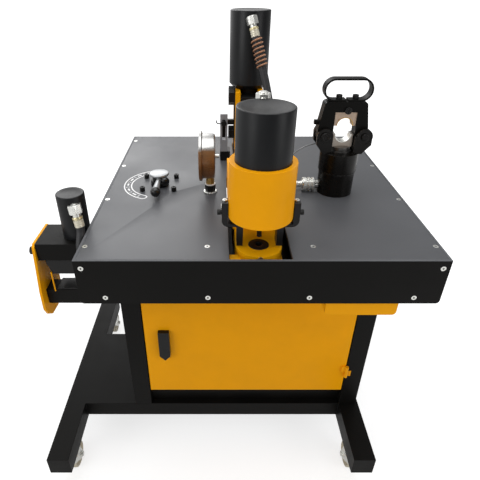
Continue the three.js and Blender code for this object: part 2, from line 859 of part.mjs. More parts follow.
// Selector valve: body under the table, lever and ball knob above it
function buildValve() {
  const bottom = tableHeight - valveDrop;
  const bossTop = tableHeight + valveBossHeight;
  const parts = [
    block(valveX - valveHalf, valveX + valveHalf, valveY - valveHalf, valveY + valveHalf, bottom,
      tableHeight - topThickness - clearance),
    upright(valveX, valveY, tableHeight - topThickness - weldLap, bossTop, valveBossRadius),
  ];
  for (const sx of [-1, 1]) {
    for (const sy of [-1, 1]) {
      const x = valveX + sx * valveBoltSpacing / 2;
      const y = valveY + sy * valveBoltSpacing / 2;
      const headBottomZ = tableHeight + clearance;
      parts.push(upright(x, y, tableHeight - topThickness - weldLap, headBottomZ + weldLap,
        valveBoltRadius, smallSides));
      parts.push(upright(x, y, headBottomZ, headBottomZ + valveBoltHeadHeight, valveBoltHeadRadius,
        smallSides));
    }
  }
  const portZ = bottom + valvePortRise;
  const rightFace = valveX + valveHalf;
  const frontFace = valveY - valveHalf;
  for (const y of [valveY - valvePortSpacing, valveY, valveY + valvePortSpacing]) {
    parts.push(rod([rightFace - weldLap, y, portZ], [rightFace + valvePortLength, y, portZ],
      valvePortRadius, valvePortRadius, hexSides));
  }
  parts.push(rod([valveX, frontFace + weldLap, portZ], [valveX, frontFace - valvePortLength, portZ],
    valvePortRadius, valvePortRadius, hexSides));
  addMesh(machine, 'valve_body', fuse(...parts), blackOxide);

  const lever = unit(valveX, valveY, bossTop + clearance);
  const armHeight = hubHeight / 2;
  const armEnd = -leverLength + knobRadius - leverLap;
  addMesh(lever, 'valve_lever', fuse(
    upright(0, 0, 0, hubHeight, hubRadius),
    upright(0, 0, hubHeight - weldLap, hubHeight + capThickness, capRadius, fineSides),
    rod([0, -hubRadius + leverLap, armHeight], [0, armEnd, armHeight], leverRootRadius, leverTipRadius,
      smallSides),
    ball(0, -leverLength, armHeight, knobRadius),
  ), zinc);
}

// Pressure gauge on its stem, facing left
function buildGauge() {
  const gauge = unit(gaugeX, gaugeY, tableHeight);
  const z = gaugeCentreHeight;
  const caseRear = gaugeCaseRear;
  const caseFront = caseRear - gaugeCaseDepth;
  const bezelFront = caseFront - bezelDepth;
  const dialX = bezelFront + dialDepth;
  const across = (x0, x1, radius, sides = fineSides) => rod([x0, 0, z], [x1, 0, z], radius, radius,
    sides);
  const caseBottom = z - gaugeCaseRadius;
  const washerBottom = clearance;
  const nutBottom = washerBottom + stemWasherThickness;
  const nutTop = nutBottom + stemNutHeight;
  const pipeZ = -stemDrop + pipeRise;
  const pipeEnd = valveX + valveHalf + clearance - gaugeX;
  const body = cut(
    fuse(
      across(caseFront - weldLap, caseRear, gaugeCaseRadius),
      across(bezelFront, caseFront, bezelRadius),
      across(caseRear - weldLap, caseRear + gaugePlugLength, gaugePlugRadius, smallSides),
      upright(0, 0, nutTop - weldLap, caseBottom + stemLap, stemRadius),
      upright(0, 0, nutBottom - weldLap, nutTop, stemNutRadius, hexSides),
      upright(0, 0, washerBottom, nutBottom, stemWasherRadius),
      upright(0, 0, -stemDrop, washerBottom + weldLap, stemThreadRadius, smallSides),
      rod([0, 0, pipeZ], [pipeEnd, 0, pipeZ], gaugePipeRadius, gaugePipeRadius, smallSides),
    ),
    across(bezelFront - cutOver, dialX, dialRadius),
  );
  const pivotEnd = dialX - pointerPivotLength;
  const pivot = across(dialX + weldLap, pivotEnd, pointerPivotRadius, smallSides);
  addMesh(gauge, 'gauge_body', fuse(body, pivot), zinc);
  // The pointer rests on zero, at the lower left of the dial
  const pointerFront = pivotEnd - clearance - pointerThickness;
  const needle = new THREE.BoxGeometry(pointerThickness, pointerWidth, pointerLength + pointerTail);
  needle.translate(pointerFront + pointerThickness / 2, 0, (pointerTail - pointerLength) / 2);
  needle.rotateX(Math.PI / 4);
  needle.translate(0, 0, z);
  const hub = across(pointerFront, pointerFront + pointerThickness, pointerHubRadius, smallSides);
  addMesh(gauge, 'gauge_pointer', fuse(toSolid(needle), hub), pointerBlack);
  const lensFront = bezelFront + lensSetback;
  addMesh(gauge, 'gauge_lens', across(lensFront, lensFront + lensThickness, dialRadius - clearance),
    glass);
}

// A hex nut and a ferrule along a direction, from point a
function portFitting(a, direction, nutLap) {
  const start = new THREE.Vector3(...a);
  const way = new THREE.Vector3(...direction).normalize();
  const at = (distance) => start.clone().addScaledVector(way, distance).toArray();
  return [
    rod(at(-nutLap), at(nutLength), nutRadius, nutRadius, hexSides),
    rod(at(nutLength - weldLap), at(nutLength + ferruleLength), ferruleRadius, ferruleRadius, smallSides),
  ];
}

// Punching station
const punchFittingReach = 64;
const punchFittingHeight = 268;
const punchFittingShares = [0.42, 0.75, -0.5];

function buildPunch() {
  const punch = unit(punchX, punchY, tableHeight);
  const headTop = headBottom + headHeight;
  const spineFront = throatDepth;
  const spineRear = throatDepth + spineThickness;
  const holderBottom = holderTop - holderThickness;
  const flangeTop = -topThickness - clearance - ringSize - clearance;
  const flangeHalf = slotEdge + slotTubeSetback + innerTubeWidth;
  const blockRight = -punchBaseHalfWidth + sideBlockWidth / 2;
  const frame = cut(
    fuse(
      upright(0, 0, headBottom, headTop, headRadius, fineSides),
      block(-headRadius, headRadius, 0, spineRear, headBottom, spineTop),
      block(-spineHalfWidth, spineHalfWidth, spineFront, spineRear, punchBaseBottom,
        headBottom + weldLap),
      upright(0, 0, holderBottom - weldLap, holderTop, holderRadius, fineSides),
      block(-holderRadius, holderRadius, 0, spineFront + weldLap, holderBottom - weldLap, holderTop),
      block(-punchBaseHalfWidth, punchBaseHalfWidth, -punchBaseFront, spineFront + weldLap,
        punchBaseBottom, holderBottom),
      block(blockRight - sideBlockWidth, blockRight, -punchBaseFront, -punchBaseFront + sideBlockLength,
        holderBottom - weldLap, holderBottom + sideBlockHeight),
      block(-flangeHalf, flangeHalf, 0, punchFlangeDepth, flangeTop - punchFlangeThickness, flangeTop),
    ),
    upright(0, 0, headBottom + headLedge, headTop + cutOver, punchCylinderRadius + clearance, fineSides),
    upright(0, 0, headBottom - cutOver, headTop, headLedgeRadius),
    upright(0, 0, holderTop - dieThickness, holderTop + cutOver, dieRadius + clearance),
    upright(0, 0, punchBaseBottom - cutOver, holderTop, slugHoleRadius, smallSides),
    rod([0, -holderRadius - cutOver, holderTop - setScrewDrop],
      [0, -holderRadius + setScrewDepth, holderTop - setScrewDrop],
      setScrewRadius, setScrewRadius, smallSides),
  );
  addMesh(punch, 'punch_frame', frame, yellowPaint);

  addMesh(punch, 'punch_die', cut(
    upright(0, 0, holderTop - dieThickness + clearance, holderTop + clearance, dieRadius),
    upright(0, 0, holderTop - dieThickness - cutOver, holderTop + cutOver, dieHoleRadius, smallSides),
  ), blackOxide);

  const fittingStart = [0, punchFittingReach, punchFittingHeight];
  const cylinder = cut(
    fuse(
      upright(0, 0, headBottom + headLedge + clearance, punchCylinderTop, punchCylinderRadius, fineSides),
      rod([0, 0, punchFittingHeight], fittingStart, punchNeckRadius, punchNeckRadius, smallSides),
      ...portFitting(fittingStart, punchFittingShares, nutLength / 2),
    ),
    upright(0, 0, headBottom, punchCylinderTop - punchCylinderCap, punchRamRadius + runClearance),
  );
  addMesh(punch, 'punch_cylinder', cylinder, blackPaint);

  addMesh(punch, 'punch_ram', fuse(
    upright(0, 0, punchRamBottom, punchRamTop, punchRamRadius),
    upright(0, 0, punchTipBottom, punchRamBottom + weldLap, punchTipRadius, smallSides),
  ), blackOxide);

  const plateTop = stripperPlateBottom + stripperPlateThickness;
  const lugInner = headRadius + runClearance;
  const lugOuter = lugInner + lugThickness;
  const fingerOuter = fingerInner + fingerThickness;
  const armRear = bridgeSetback + bridgeDepth;
  const cornerZ = stripperPlateBottom + lugCornerRadius;
  const stripperParts = [
    block(-lugOuter, lugOuter, bridgeSetback, armRear, stripperPlateBottom, plateTop),
  ];
  const corners = [];
  for (const side of [-1, 1]) {
    const span = (a, b) => (side > 0 ? [a, b] : [-b, -a]);
    const screwZ = thumbScrewHeight;
    stripperParts.push(
      block(...span(fingerInner, lugOuter), -lugHalfDepth, armRear, stripperPlateBottom, plateTop),
      block(...span(fingerInner, fingerOuter), -fingerHalfDepth, fingerHalfDepth, clearance, plateTop),
      block(...span(lugInner, lugOuter), -lugHalfDepth, lugHalfDepth, stripperPlateBottom, lugTop),
      upright(side * (lugInner + lugThickness / 2), 0, lugTop - weldLap, lugTop + lugScrewHeight,
        lugScrewRadius, smallSides),
      rod([side * (lugOuter - weldLap), 0, screwZ], [side * (lugOuter + thumbScrewLength), 0, screwZ],
        thumbScrewRadius, thumbScrewRadius, smallSides),
    );
    // What lies outside the rounded lower corner of the lug
    const cornerX = side * (lugOuter - lugCornerRadius);
    corners.push(cut(
      block(...span(lugOuter - lugCornerRadius, lugOuter + cutOver), -lugHalfDepth - cutOver,
        armRear + cutOver, stripperPlateBottom - cutOver, cornerZ),
      rod([cornerX, -lugHalfDepth - cutOver * 2, cornerZ], [cornerX, armRear + cutOver * 2, cornerZ],
        lugCornerRadius, lugCornerRadius, fineSides),
    ));
  }
  addMesh(punch, 'stripper', cut(fuse(...stripperParts), ...corners), blackOxide);
}

// Shearing station
const shearFittingReach = 58;
const shearFittingHeight = 373;
const shearFittingShares = [0.25, -0.28, -0.92];

function buildShear() {
  const shear = unit(0, shearY, tableHeight);
  const flangeTop = -topThickness - clearance - ringSize - clearance;
  const flangeLeft = punchX - slotEdge - slotTubeSetback - innerTubeWidth;
  const flangeRight = punchX + slotEdge + slotTubeSetback + innerTubeWidth;
  const throatTop = shearThroatBottom + shearThroatHeight;
  const frame = cut(
    fuse(
      block(-shearHalfWidth, -shearPlateInner, -shearHalfDepth, shearHalfDepth, shearPlateBottom,
        shearPlateTop),
      block(shearPlateInner, shearHalfWidth, -shearHalfDepth, shearHalfDepth, shearPlateBottom,
        shearPlateTop),
      block(-shearPlateInner - weldLap, shearPlateInner + weldLap, shearHalfDepth - shearBackThickness,
        shearHalfDepth, shearPlateBottom, shearPlateTop),
      block(-shearPlateInner - weldLap, shearPlateInner + weldLap, -shearHalfDepth, shearHalfDepth,
        shearPlateBottom, shearBaseTop),
      block(flangeLeft, flangeRight, -shearHalfDepth + shearPlateThickness,
        shearHalfDepth - shearPlateThickness, flangeTop - shearFlangeThickness, flangeTop),
    ),
    block(-shearHalfWidth - cutOver, shearHalfWidth + cutOver, -shearHalfDepth - cutOver, shearThroatBack,
      shearThroatBottom, throatTop),
  );
  addMesh(shear, 'shear_frame', frame, yellowPaint);

  const cylinderBottom = shearPlateTop + clearance;
  const cylinderTop = cylinderBottom + shearCylinderHeight;
  const chamferTop = cylinderBottom + shearCylinderChamfer;
  const fittingStart = [0, -shearFittingReach, shearFittingHeight];
  const cylinder = cut(
    fuse(
      rod([0, 0, cylinderBottom], [0, 0, chamferTop], shearCylinderRadius - shearCylinderChamfer,
        shearCylinderRadius, fineSides),
      upright(0, 0, chamferTop - clearance, cylinderTop, shearCylinderRadius, fineSides),
      rod([0, 0, shearFittingHeight], fittingStart, nutRadius, nutRadius, hexSides),
      ...portFitting(fittingStart, shearFittingShares, nutLength / 2),
    ),
    upright(0, 0, cylinderBottom - cutOver, cylinderTop - shearCylinderCap, shearBoreRadius),
  );
  addMesh(shear, 'shear_cylinder', cylinder, blackPaint);

  const ramSide = shearPlateInner - runClearance;
  const bladeBack = shearThroatBack - runClearance;
  const bladeLeft = runClearance;
  const bladeLow = ramBottom - bladeDrop;
  const blade = [
    [-ramFront, bladeLow + bladeRise], [bladeBack, bladeLow], [bladeBack, ramBottom + weldLap],
    [-ramFront, ramBottom + weldLap],
  ];
  const ram = fuse(
    block(-ramSide, ramSide, -ramFront, ramBack, ramBottom, ramTop),
    upright(0, 0, ramTop - weldLap, shearRodTop, shearRodRadius),
    slabYZ(blade, bladeLeft, bladeLeft + bladeThickness),
  );
  addMesh(shear, 'shear_ram', ram, blackOxide);

  addMesh(shear, 'lower_blade', block(-bladeThickness - clearance, -clearance, -ramFront, bladeBack,
    shearBaseTop + clearance, shearBaseTop + clearance + lowerBladeHeight), toolSteel);

  // Bracket on the left plate: two nuts, clamp bar, strip behind the slot and the rest for the busbar
  const plateFace = -shearHalfWidth - clearance;
  const sheetLeft = plateFace - bracketSheet;
  const guideFront = -shearHalfDepth;
  const barBack = guideFront + holdBarDepth;
  const barZ = holdScrewHeight - holdBarHeight / 2;
  const barLeft = holdX - holdWidth / 2;
  const restRight = barLeft + restWidth;
  const restBottom = clearance;
  const threadHole = rod([holdX, guideFront - cutOver, holdScrewHeight],
    [holdX, barBack + cutOver, holdScrewHeight],
    holdScrewRadius + clearance, holdScrewRadius + clearance, smallSides);
  const sideNut = (height, radius) => {
    const y = guideFront + radius * Math.cos(Math.PI / hexSides);
    return rod([plateFace - sideNutLength, y, height], [plateFace, y, height], radius, radius, hexSides);
  };
  const bracket = cut(
    fuse(
      block(sheetLeft, plateFace, guideFront, guideFront + guideDepth, restBottom, bracketTop),
      sideNut(lowNutHeight, lowNutRadius),
      sideNut(highNutHeight, highNutRadius),
      block(holdX - backingHalfWidth, holdX + backingHalfWidth, guideFront, guideFront + bracketSheet,
        backingBottom, backingTop),
      block(barLeft, plateFace, guideFront, barBack, barZ, barZ + holdBarHeight),
      block(barLeft, restRight, guideFront, guideFront + restDepth, restBottom, restTop),
      block(restRight - weldLap, plateFace, guideFront, guideFront + guideDepth, restBottom,
        bracketFootTop),
    ),
    threadHole,
  );
  addMesh(shear, 'hold_down_bracket', bracket, blackOxide);

  const strapBack = guideFront - clearance;
  const strapFront = strapBack - holdThickness;
  const strapLeft = holdX - holdWidth / 2;
  const strapRight = holdX + holdWidth / 2;
  const slotHalf = holdSlotWidth / 2;
  const foot = block(strapLeft, strapRight, strapFront, strapBack + guideDepth, holdBottom,
    holdBottom + holdThickness);
  const strap = fuse(cut(
    block(strapLeft, strapRight, strapFront, strapBack, holdBottom, holdTop),
    block(holdX - slotHalf, holdX + slotHalf, strapFront - cutOver, strapBack + cutOver, holdSlotBottom,
      holdSlotTop),
  ), foot);
  addMesh(shear, 'hold_down_bar', strap, toolSteel);

  const headBack = strapFront - clearance;
  const headFront = headBack - holdScrewHeadLength;
  const wingLeft = holdX - holdWingReach;
  const screw = fuse(
    rod([holdX, barBack, holdScrewHeight], [holdX, headFront + weldLap, holdScrewHeight],
      holdScrewRadius, holdScrewRadius, smallSides),
    rod([holdX, headBack, holdScrewHeight], [holdX, headFront, holdScrewHeight], holdScrewHeadRadius,
      holdScrewHeadRadius, smallSides),
    block(wingLeft, holdX, headFront, headFront + holdWingThickness,
      holdScrewHeight - holdWingThickness / 2, holdScrewHeight + holdWingThickness / 2),
    block(wingLeft, wingLeft + holdWingThickness, headFront, headFront + holdWingThickness,
      holdScrewHeight, holdScrewHeight + holdScrewHeadRadius),
  );
  addMesh(shear, 'hold_down_screw', screw, blackOxide);
}

// Bending station on the left side of the table
const bendFittingOffset = 15.5;
const bendFittingReach = 29;
const bendFittingHeight = 81;
const bendFittingShares = [0.14, -0.16, -0.977];

function buildBend() {
  const boxTop = tableHeight - boxTopDrop;
  const bendY = front + bendSetback;
  const bend = unit(bendX, bendY, boxTop);
  const plateRight = left - bendReach - bendX;
  const boxLeft = plateRight + clearance;
  const boxRight = left - clearance - bendX;
  const rodHole = upright(0, 0, -boxHeight - cutOver, cutOver, bendRodRadius + runClearance);
  addMesh(bend, 'bend_box', cut(block(boxLeft, boxRight, -boxHalfDepth, boxHalfDepth, -boxHeight, 0),
    rodHole), blackPaint);

  const jawTop = -boxHeight - clearance;
  const jawBottom = jawTop - jawBlockHeight;
  const lowerTop = jawBottom - jawOpening;
  const beamTop = lowerTop - lowerJawThickness - clearance;
  const beamBottom = beamTop - beamHeight;
  const bolts = [-1, 1].map((side) => rod(
    [plateRight - endPlateThickness + weldLap, side * (boxHalfDepth - boltInset), -boxHeight / 2],
    [plateRight - endPlateThickness - boltHeadLength, side * (boxHalfDepth - boltInset), -boxHeight / 2],
    boltHeadRadius, boltHeadRadius, smallSides,
  ));
  const outline = endPlateShares.map(
    ([back, down]) => [endPlateBack - endPlateWidth * back, -endPlateHeight * down],
  );
  const plate = slabYZ(outline, plateRight - endPlateThickness, plateRight);
  addMesh(bend, 'bend_end_plate', fuse(plate, ...bolts), yellowPaint);

  const beamRight = postLeft + postSize - bendX;
  const postFace = frameFront - clearance - bendY;
  const beamBack = -boxHalfDepth + beamDepth;
  addMesh(bend, 'bend_beam', fuse(
    block(boxLeft, beamRight, -boxHalfDepth, beamBack, beamBottom, beamTop),
    block(beamRight - postSize, beamRight, beamBack - weldLap, postFace, beamBottom, beamTop),
  ), blackPaint);

  const jawLeft = boxLeft + jawLeftInset;
  const jawRight = boxRight - jawRightInset;
  const lowerLeft = boxLeft + lowerJawInset;
  const chamferLeft = jawLeft + jawChamferWidth;
  const jaw = new THREE.Shape();
  jaw.moveTo(chamferLeft, jawBottom);
  jaw.lineTo(jawRight, jawBottom);
  jaw.lineTo(jawRight, jawTop);
  jaw.lineTo(jawLeft, jawTop);
  jaw.lineTo(jawLeft, jawBottom + jawChamferHeight);
  const noseFront = beamBack + noseGap;
  addMesh(bend, 'bend_ram', fuse(
    slabXZ(jaw, -jawFront, postFace),
    block(chamferLeft, jawRight, noseFront, noseFront + noseDepth, jawBottom - noseHeight,
      jawBottom + weldLap),
    upright(0, 0, jawTop - weldLap, bendRodTop, bendRodRadius),
  ), blackOxide);
  addMesh(bend, 'bend_lower_jaw', block(lowerLeft, jawRight, -jawFront, beamBack, beamTop + clearance,
    lowerTop), blackOxide);

  const fittingStart = [bendFittingOffset, -bendFittingReach, bendFittingHeight];
  const cylinder = cut(
    fuse(
      upright(0, 0, clearance, bendCylinderHeight, bendCylinderRadius, fineSides),
      rod([0, 0, bendFittingHeight], fittingStart, bendNeckRadius, bendNeckRadius, smallSides),
      ...portFitting(fittingStart, bendFittingShares, nutLength / 2),
    ),
    upright(0, 0, -cutOver, bendCylinderHeight - bendCylinderCap, bendRodRadius + runClearance),
  );
  addMesh(bend, 'bend_cylinder', cylinder, blackPaint);
}

// Crimping head on the right: cylinder with a clevis, and a yoke that opens round its right pin
function buildCrimp() {
  const crimp = unit(crimpX, crimpY, tableHeight);
  const earLeft = -earSpan / 2 + earShift;
  const earRight = earSpan / 2 + earShift;
  const z = earCentreHeight;
  const earInner = yokeHalfThickness + runClearance;
  const earOuter = earInner + earThickness;
  const clevis = [];
  for (const side of [-1, 1]) {
    for (const x of [earLeft, earRight]) {
      clevis.push(rod([x, side * earInner, z], [x, side * earOuter, z], earRadius));
      const outer = Math.abs(x) + earRadius - earInset;
      const inner = windowHalfWidth + clearance;
      const sign = Math.sign(x);
      const shape = new THREE.Shape();
      shape.moveTo(sign * inner, crimpBodyTop - weldLap);
      shape.lineTo(sign * crimpCollarRadius, crimpBodyTop - weldLap);
      shape.lineTo(sign * outer, z - earWaist);
      shape.lineTo(sign * outer, z);
      shape.lineTo(sign * inner, z);
      const y0 = side > 0 ? earInner : -earOuter;
      clevis.push(slabXZ(shape, y0, y0 + earThickness));
    }
  }
  const body = cut(
    fuse(
      upright(0, 0, clearance, crimpCollarBottom + weldLap, crimpBaseRadius, fineSides),
      upright(0, 0, crimpCollarBottom, crimpBodyTop, crimpCollarRadius, fineSides),
      ...clevis,
      rod([earRight, -earOuter - pinHeadLength, z], [earRight, earOuter + pinHeadLength, z],
        yokePinRadius, yokePinRadius, smallSides),
      rod([0, 0, couplerHeight], [-crimpBaseRadius - nippleReach, 0, couplerHeight], nippleRadius,
        nippleRadius, smallSides),
      rod([0, 0, couplerHeight], [-crimpBaseRadius - couplerReach, 0, couplerHeight], couplerRadius,
        couplerRadius, hexSides),
    ),
    upright(0, 0, crimpPistonBottom - cutOver, crimpBodyTop + cutOver, crimpBoreRadius),
    rod([earLeft, -earOuter - cutOver, z], [earLeft, earOuter + cutOver, z], yokePinRadius + runClearance,
      yokePinRadius + runClearance, smallSides),
  );
  addMesh(crimp, 'crimp_cylinder', body, blackPaint);

  const collarStart = -crimpBaseRadius - clearance - collarRadius / 2;
  addMesh(crimp, 'coupler_collar', cut(
    rod([collarStart, 0, couplerHeight], [collarStart - collarLength, 0, couplerHeight], collarRadius),
    rod([cutOver - crimpBaseRadius, 0, couplerHeight],
      [collarStart - collarLength - cutOver, 0, couplerHeight],
      couplerRadius + runClearance),
  ), zinc);

  const lowerArch = new THREE.Shape();
  const lowerHalfWidth = windowHalfWidth - lowerDieInset;
  lowerArch.moveTo(-lowerHalfWidth, crimpPistonTop - weldLap);
  lowerArch.lineTo(lowerHalfWidth, crimpPistonTop - weldLap);
  lowerArch.lineTo(lowerHalfWidth, lowerDieTop);
  lowerArch.lineTo(dieArchRadius, lowerDieTop);
  lowerArch.absarc(0, lowerDieTop, dieArchRadius, 0, Math.PI, true);
  lowerArch.lineTo(-lowerHalfWidth, lowerDieTop);
  addMesh(crimp, 'crimp_piston', fuse(
    upright(0, 0, crimpPistonBottom, crimpPistonShoulder, crimpPistonRadius),
    upright(0, 0, crimpPistonShoulder - weldLap, crimpPistonTop, lowerHalfWidth),
    slabXZ(lowerArch, -dieHalfDepth, dieHalfDepth),
  ), toolSteel);

  // Yoke: outline with an open window; its left eye is a hook that is open below
  const sideLeft = earLeft - yokeEyeRadius;
  const sideRight = earRight + yokeEyeRadius - yokeRightInset;
  const topLeft = sideLeft + yokeTopInset;
  const topRight = sideRight - yokeTopInset;
  const r = yokeCornerRadius;
  const outline = new THREE.Shape();
  outline.moveTo(sideLeft, z);
  outline.lineTo(sideLeft, yokeShoulder);
  outline.lineTo(topLeft, yokeTop - r);
  outline.quadraticCurveTo(topLeft, yokeTop, topLeft + r, yokeTop);
  outline.lineTo(topRight - r, yokeTop);
  outline.quadraticCurveTo(topRight, yokeTop, topRight, yokeTop - r);
  outline.lineTo(sideRight, yokeShoulder);
  outline.lineTo(sideRight, z);
  const eyeCut = yokePinRadius + hookClearance;
  const yoke = cut(
    fuse(
      slabXZ(outline, -yokeHalfThickness, yokeHalfThickness),
      rod([earLeft, -yokeHalfThickness, z], [earLeft, yokeHalfThickness, z], yokeEyeRadius),
      rod([earRight, -yokeHalfThickness, z], [earRight, yokeHalfThickness, z], yokeEyeRadius),
      rod([topLeft, 0, latchKnobHeight], [sideLeft - latchKnobReach, 0, latchKnobHeight],
        latchKnobRadius, latchKnobRadius, smallSides),
    ),
    block(-windowHalfWidth, windowHalfWidth, -yokeHalfThickness - cutOver, yokeHalfThickness + cutOver,
      z - yokeEyeRadius - cutOver, windowTop),
    rod([earLeft, -yokeHalfThickness - cutOver, z], [earLeft, yokeHalfThickness + cutOver, z], eyeCut,
      eyeCut, smallSides),
    block(earLeft - eyeCut, earLeft + eyeCut, -yokeHalfThickness - cutOver, yokeHalfThickness + cutOver,
      z - yokeEyeRadius - cutOver, z),
    rod([earRight, -yokeHalfThickness - cutOver, z], [earRight, yokeHalfThickness + cutOver, z],
      yokePinRadius + runClearance, yokePinRadius + runClearance, smallSides),
  );
  addMesh(crimp, 'crimp_yoke', yoke, blackPaint);

  const upperArch = new THREE.Shape();
  const dieHalfWidth = windowHalfWidth - dieInset;
  const dieTop = windowTop - clearance;
  const dieLow = dieTop - upperDieHeight;
  upperArch.moveTo(-dieHalfWidth, dieLow);
  upperArch.lineTo(-dieArchRadius, dieLow);
  upperArch.absarc(0, dieLow, dieArchRadius, Math.PI, 0, true);
  upperArch.lineTo(dieHalfWidth, dieLow);
  upperArch.lineTo(dieHalfWidth, dieTop);
  upperArch.lineTo(-dieHalfWidth, dieTop);
  addMesh(crimp, 'crimp_upper_die', slabXZ(upperArch, -dieHalfDepth, dieHalfDepth), tanSteel);

  // Carrying handle: a flat band bent to a loop, open at the bottom
  const loop = new THREE.Shape();
  const radius = handleHeight / 2;
  const low = yokeTop + clearance;
  const centreZ = low + radius;
  const straight = handleHalfWidth - radius;
  const centreX = -handleShift;
  loop.moveTo(centreX - straight, low);
  loop.lineTo(centreX + straight, low);
  loop.absarc(centreX + straight, centreZ, radius, -Math.PI / 2, Math.PI / 2);
  loop.lineTo(centreX - straight, low + handleHeight);
  loop.absarc(centreX - straight, centreZ, radius, Math.PI / 2, Math.PI * 3 / 2);
  const inner = new THREE.Shape();
  const innerRadius = radius - handleBand;
  inner.moveTo(centreX - straight, low + handleBand);
  inner.lineTo(centreX + straight, low + handleBand);
  inner.absarc(centreX + straight, centreZ, innerRadius, -Math.PI / 2, Math.PI / 2);
  inner.lineTo(centreX - straight, low + handleHeight - handleBand);
  inner.absarc(centreX - straight, centreZ, innerRadius, Math.PI / 2, Math.PI * 3 / 2);
  const over = handleHalfDepth + cutOver;
  const handle = cut(
    slabXZ(loop, -handleHalfDepth, handleHalfDepth),
    slabXZ(inner, -over, over),
    block(centreX - handleOpening / 2, centreX + handleOpening / 2, -over, over, low - cutOver,
      low + handleBand + cutOver),
  );
  addMesh(crimp, 'carrying_handle', handle, blackPaint);

  addMesh(crimp, 'latch_pin', fuse(
    rod([earLeft, earOuter + pinHeadLength, z], [earLeft, -earOuter - runClearance, z], yokePinRadius,
      yokePinRadius, smallSides),
    rod([earLeft, -earOuter - runClearance, z], [earLeft, -earOuter - runClearance - pinHeadLength, z],
      pinHeadRadius, pinHeadRadius, midSides),
  ), toolSteel);
}

// Hoses: points of each route, chosen by hand
const shearHosePoints = [
  [10.4, 155.3, 1154.8], [20, 144.6, 1119.7], [29.5, 133.9, 1084.7], [40.8, 121, 1042.5],
    [52, 99, 989], [59, 66, 933],
  [58, 35, 881], [50, 12, 840], [38, 2, 805], [18, 0, 770], [-14, 3, 744], [-52, 7, 735.5],
    [-100, 11, 735],
  [-140, 14, 735], [-176.5, 14, 735],
];
const punchHosePoints = [
  [15.5, -206.8, 1067.8], [22.6, -194, 1059], [30, -178, 1042], [33, -162, 1015], [30, -146, 975],
    [22, -132, 930],
  [12, -120, 880], [4, -112, 835], [-6, -104, 795], [-26, -96, 763], [-56, -84, 744], [-92, -70, 736],
  [-126, -50, 735], [-152, -46, 735], [-176.5, -46, 735],
];
const bendHosePoints = [
  [-380.3, -263.6, 835.6], [-379.6, -266.2, 824], [-380, -273.5, 811], [-380.8, -280.5, 800],
    [-381.2, -283.5, 788], [-381.5, -284.5, 766],
  [-381.4, -284.5, 742], [-381.2, -284.5, 720], [-375.5, -284.5, 695], [-361, -284.5, 674],
    [-341, -284.5, 662],
  [-318, -284.5, 658], [-295, -284, 663], [-274, -274, 674], [-260, -250, 687], [-252, -220, 702],
  [-245, -186, 716], [-241, -148, 728], [-239, -112, 735], [-239, -90, 735], [-239, -78.5, 735],
];
const crimpHosePoints = [
  [109.5, -53, 838], [98, -53, 838], [80, -53, 836.5], [62, -52.5, 830], [46, -52, 817], [32, -51, 798],
    [16, -49, 776],
  [-6, -46, 757], [-36, -41, 743], [-74, -34, 736], [-112, -19, 735], [-142, -16, 735],
    [-176.5, -16, 735],
];
const safetyWirePoints = [
  [153, -33, 937], [146, -34, 936], [138, -36, 934.5], [128, -39, 932], [114, -43, 926],
    [101, -44, 916],
  [90, -43, 901], [82, -40, 883], [77, -36, 862], [75, -31, 842], [74.5, -28, 830], [74.5, -27, 820.6],
];

function tube(points, radius, sides, step) {
  const curve = new THREE.CatmullRomCurve3(points.map((p) => new THREE.Vector3(...p)));
  const shape = new THREE.Shape();
  for (let i = 0; i < sides; i++) {
    const angle = (i / sides) * Math.PI * 2;
    if (i === 0) shape.moveTo(radius * Math.cos(angle), radius * Math.sin(angle));
    else shape.lineTo(radius * Math.cos(angle), radius * Math.sin(angle));
  }
  const steps = Math.round(curve.getLength() / step);
  const geometry = new THREE.ExtrudeGeometry(shape, { steps, extrudePath: curve, bevelEnabled: false });
  return { solid: toSolid(geometry), length: curve.getLength() };
}

// The coiled guard on the shear hose: one unbroken helix along its straight first stretch
const guardTurns = 7;
const guardPitch = 10.4;
const guardCoilRadius = 13.4;
const guardWireRadius = 2.1;
const guardStart = 5;
const guardSteps = 8;
const guardSides = 5;

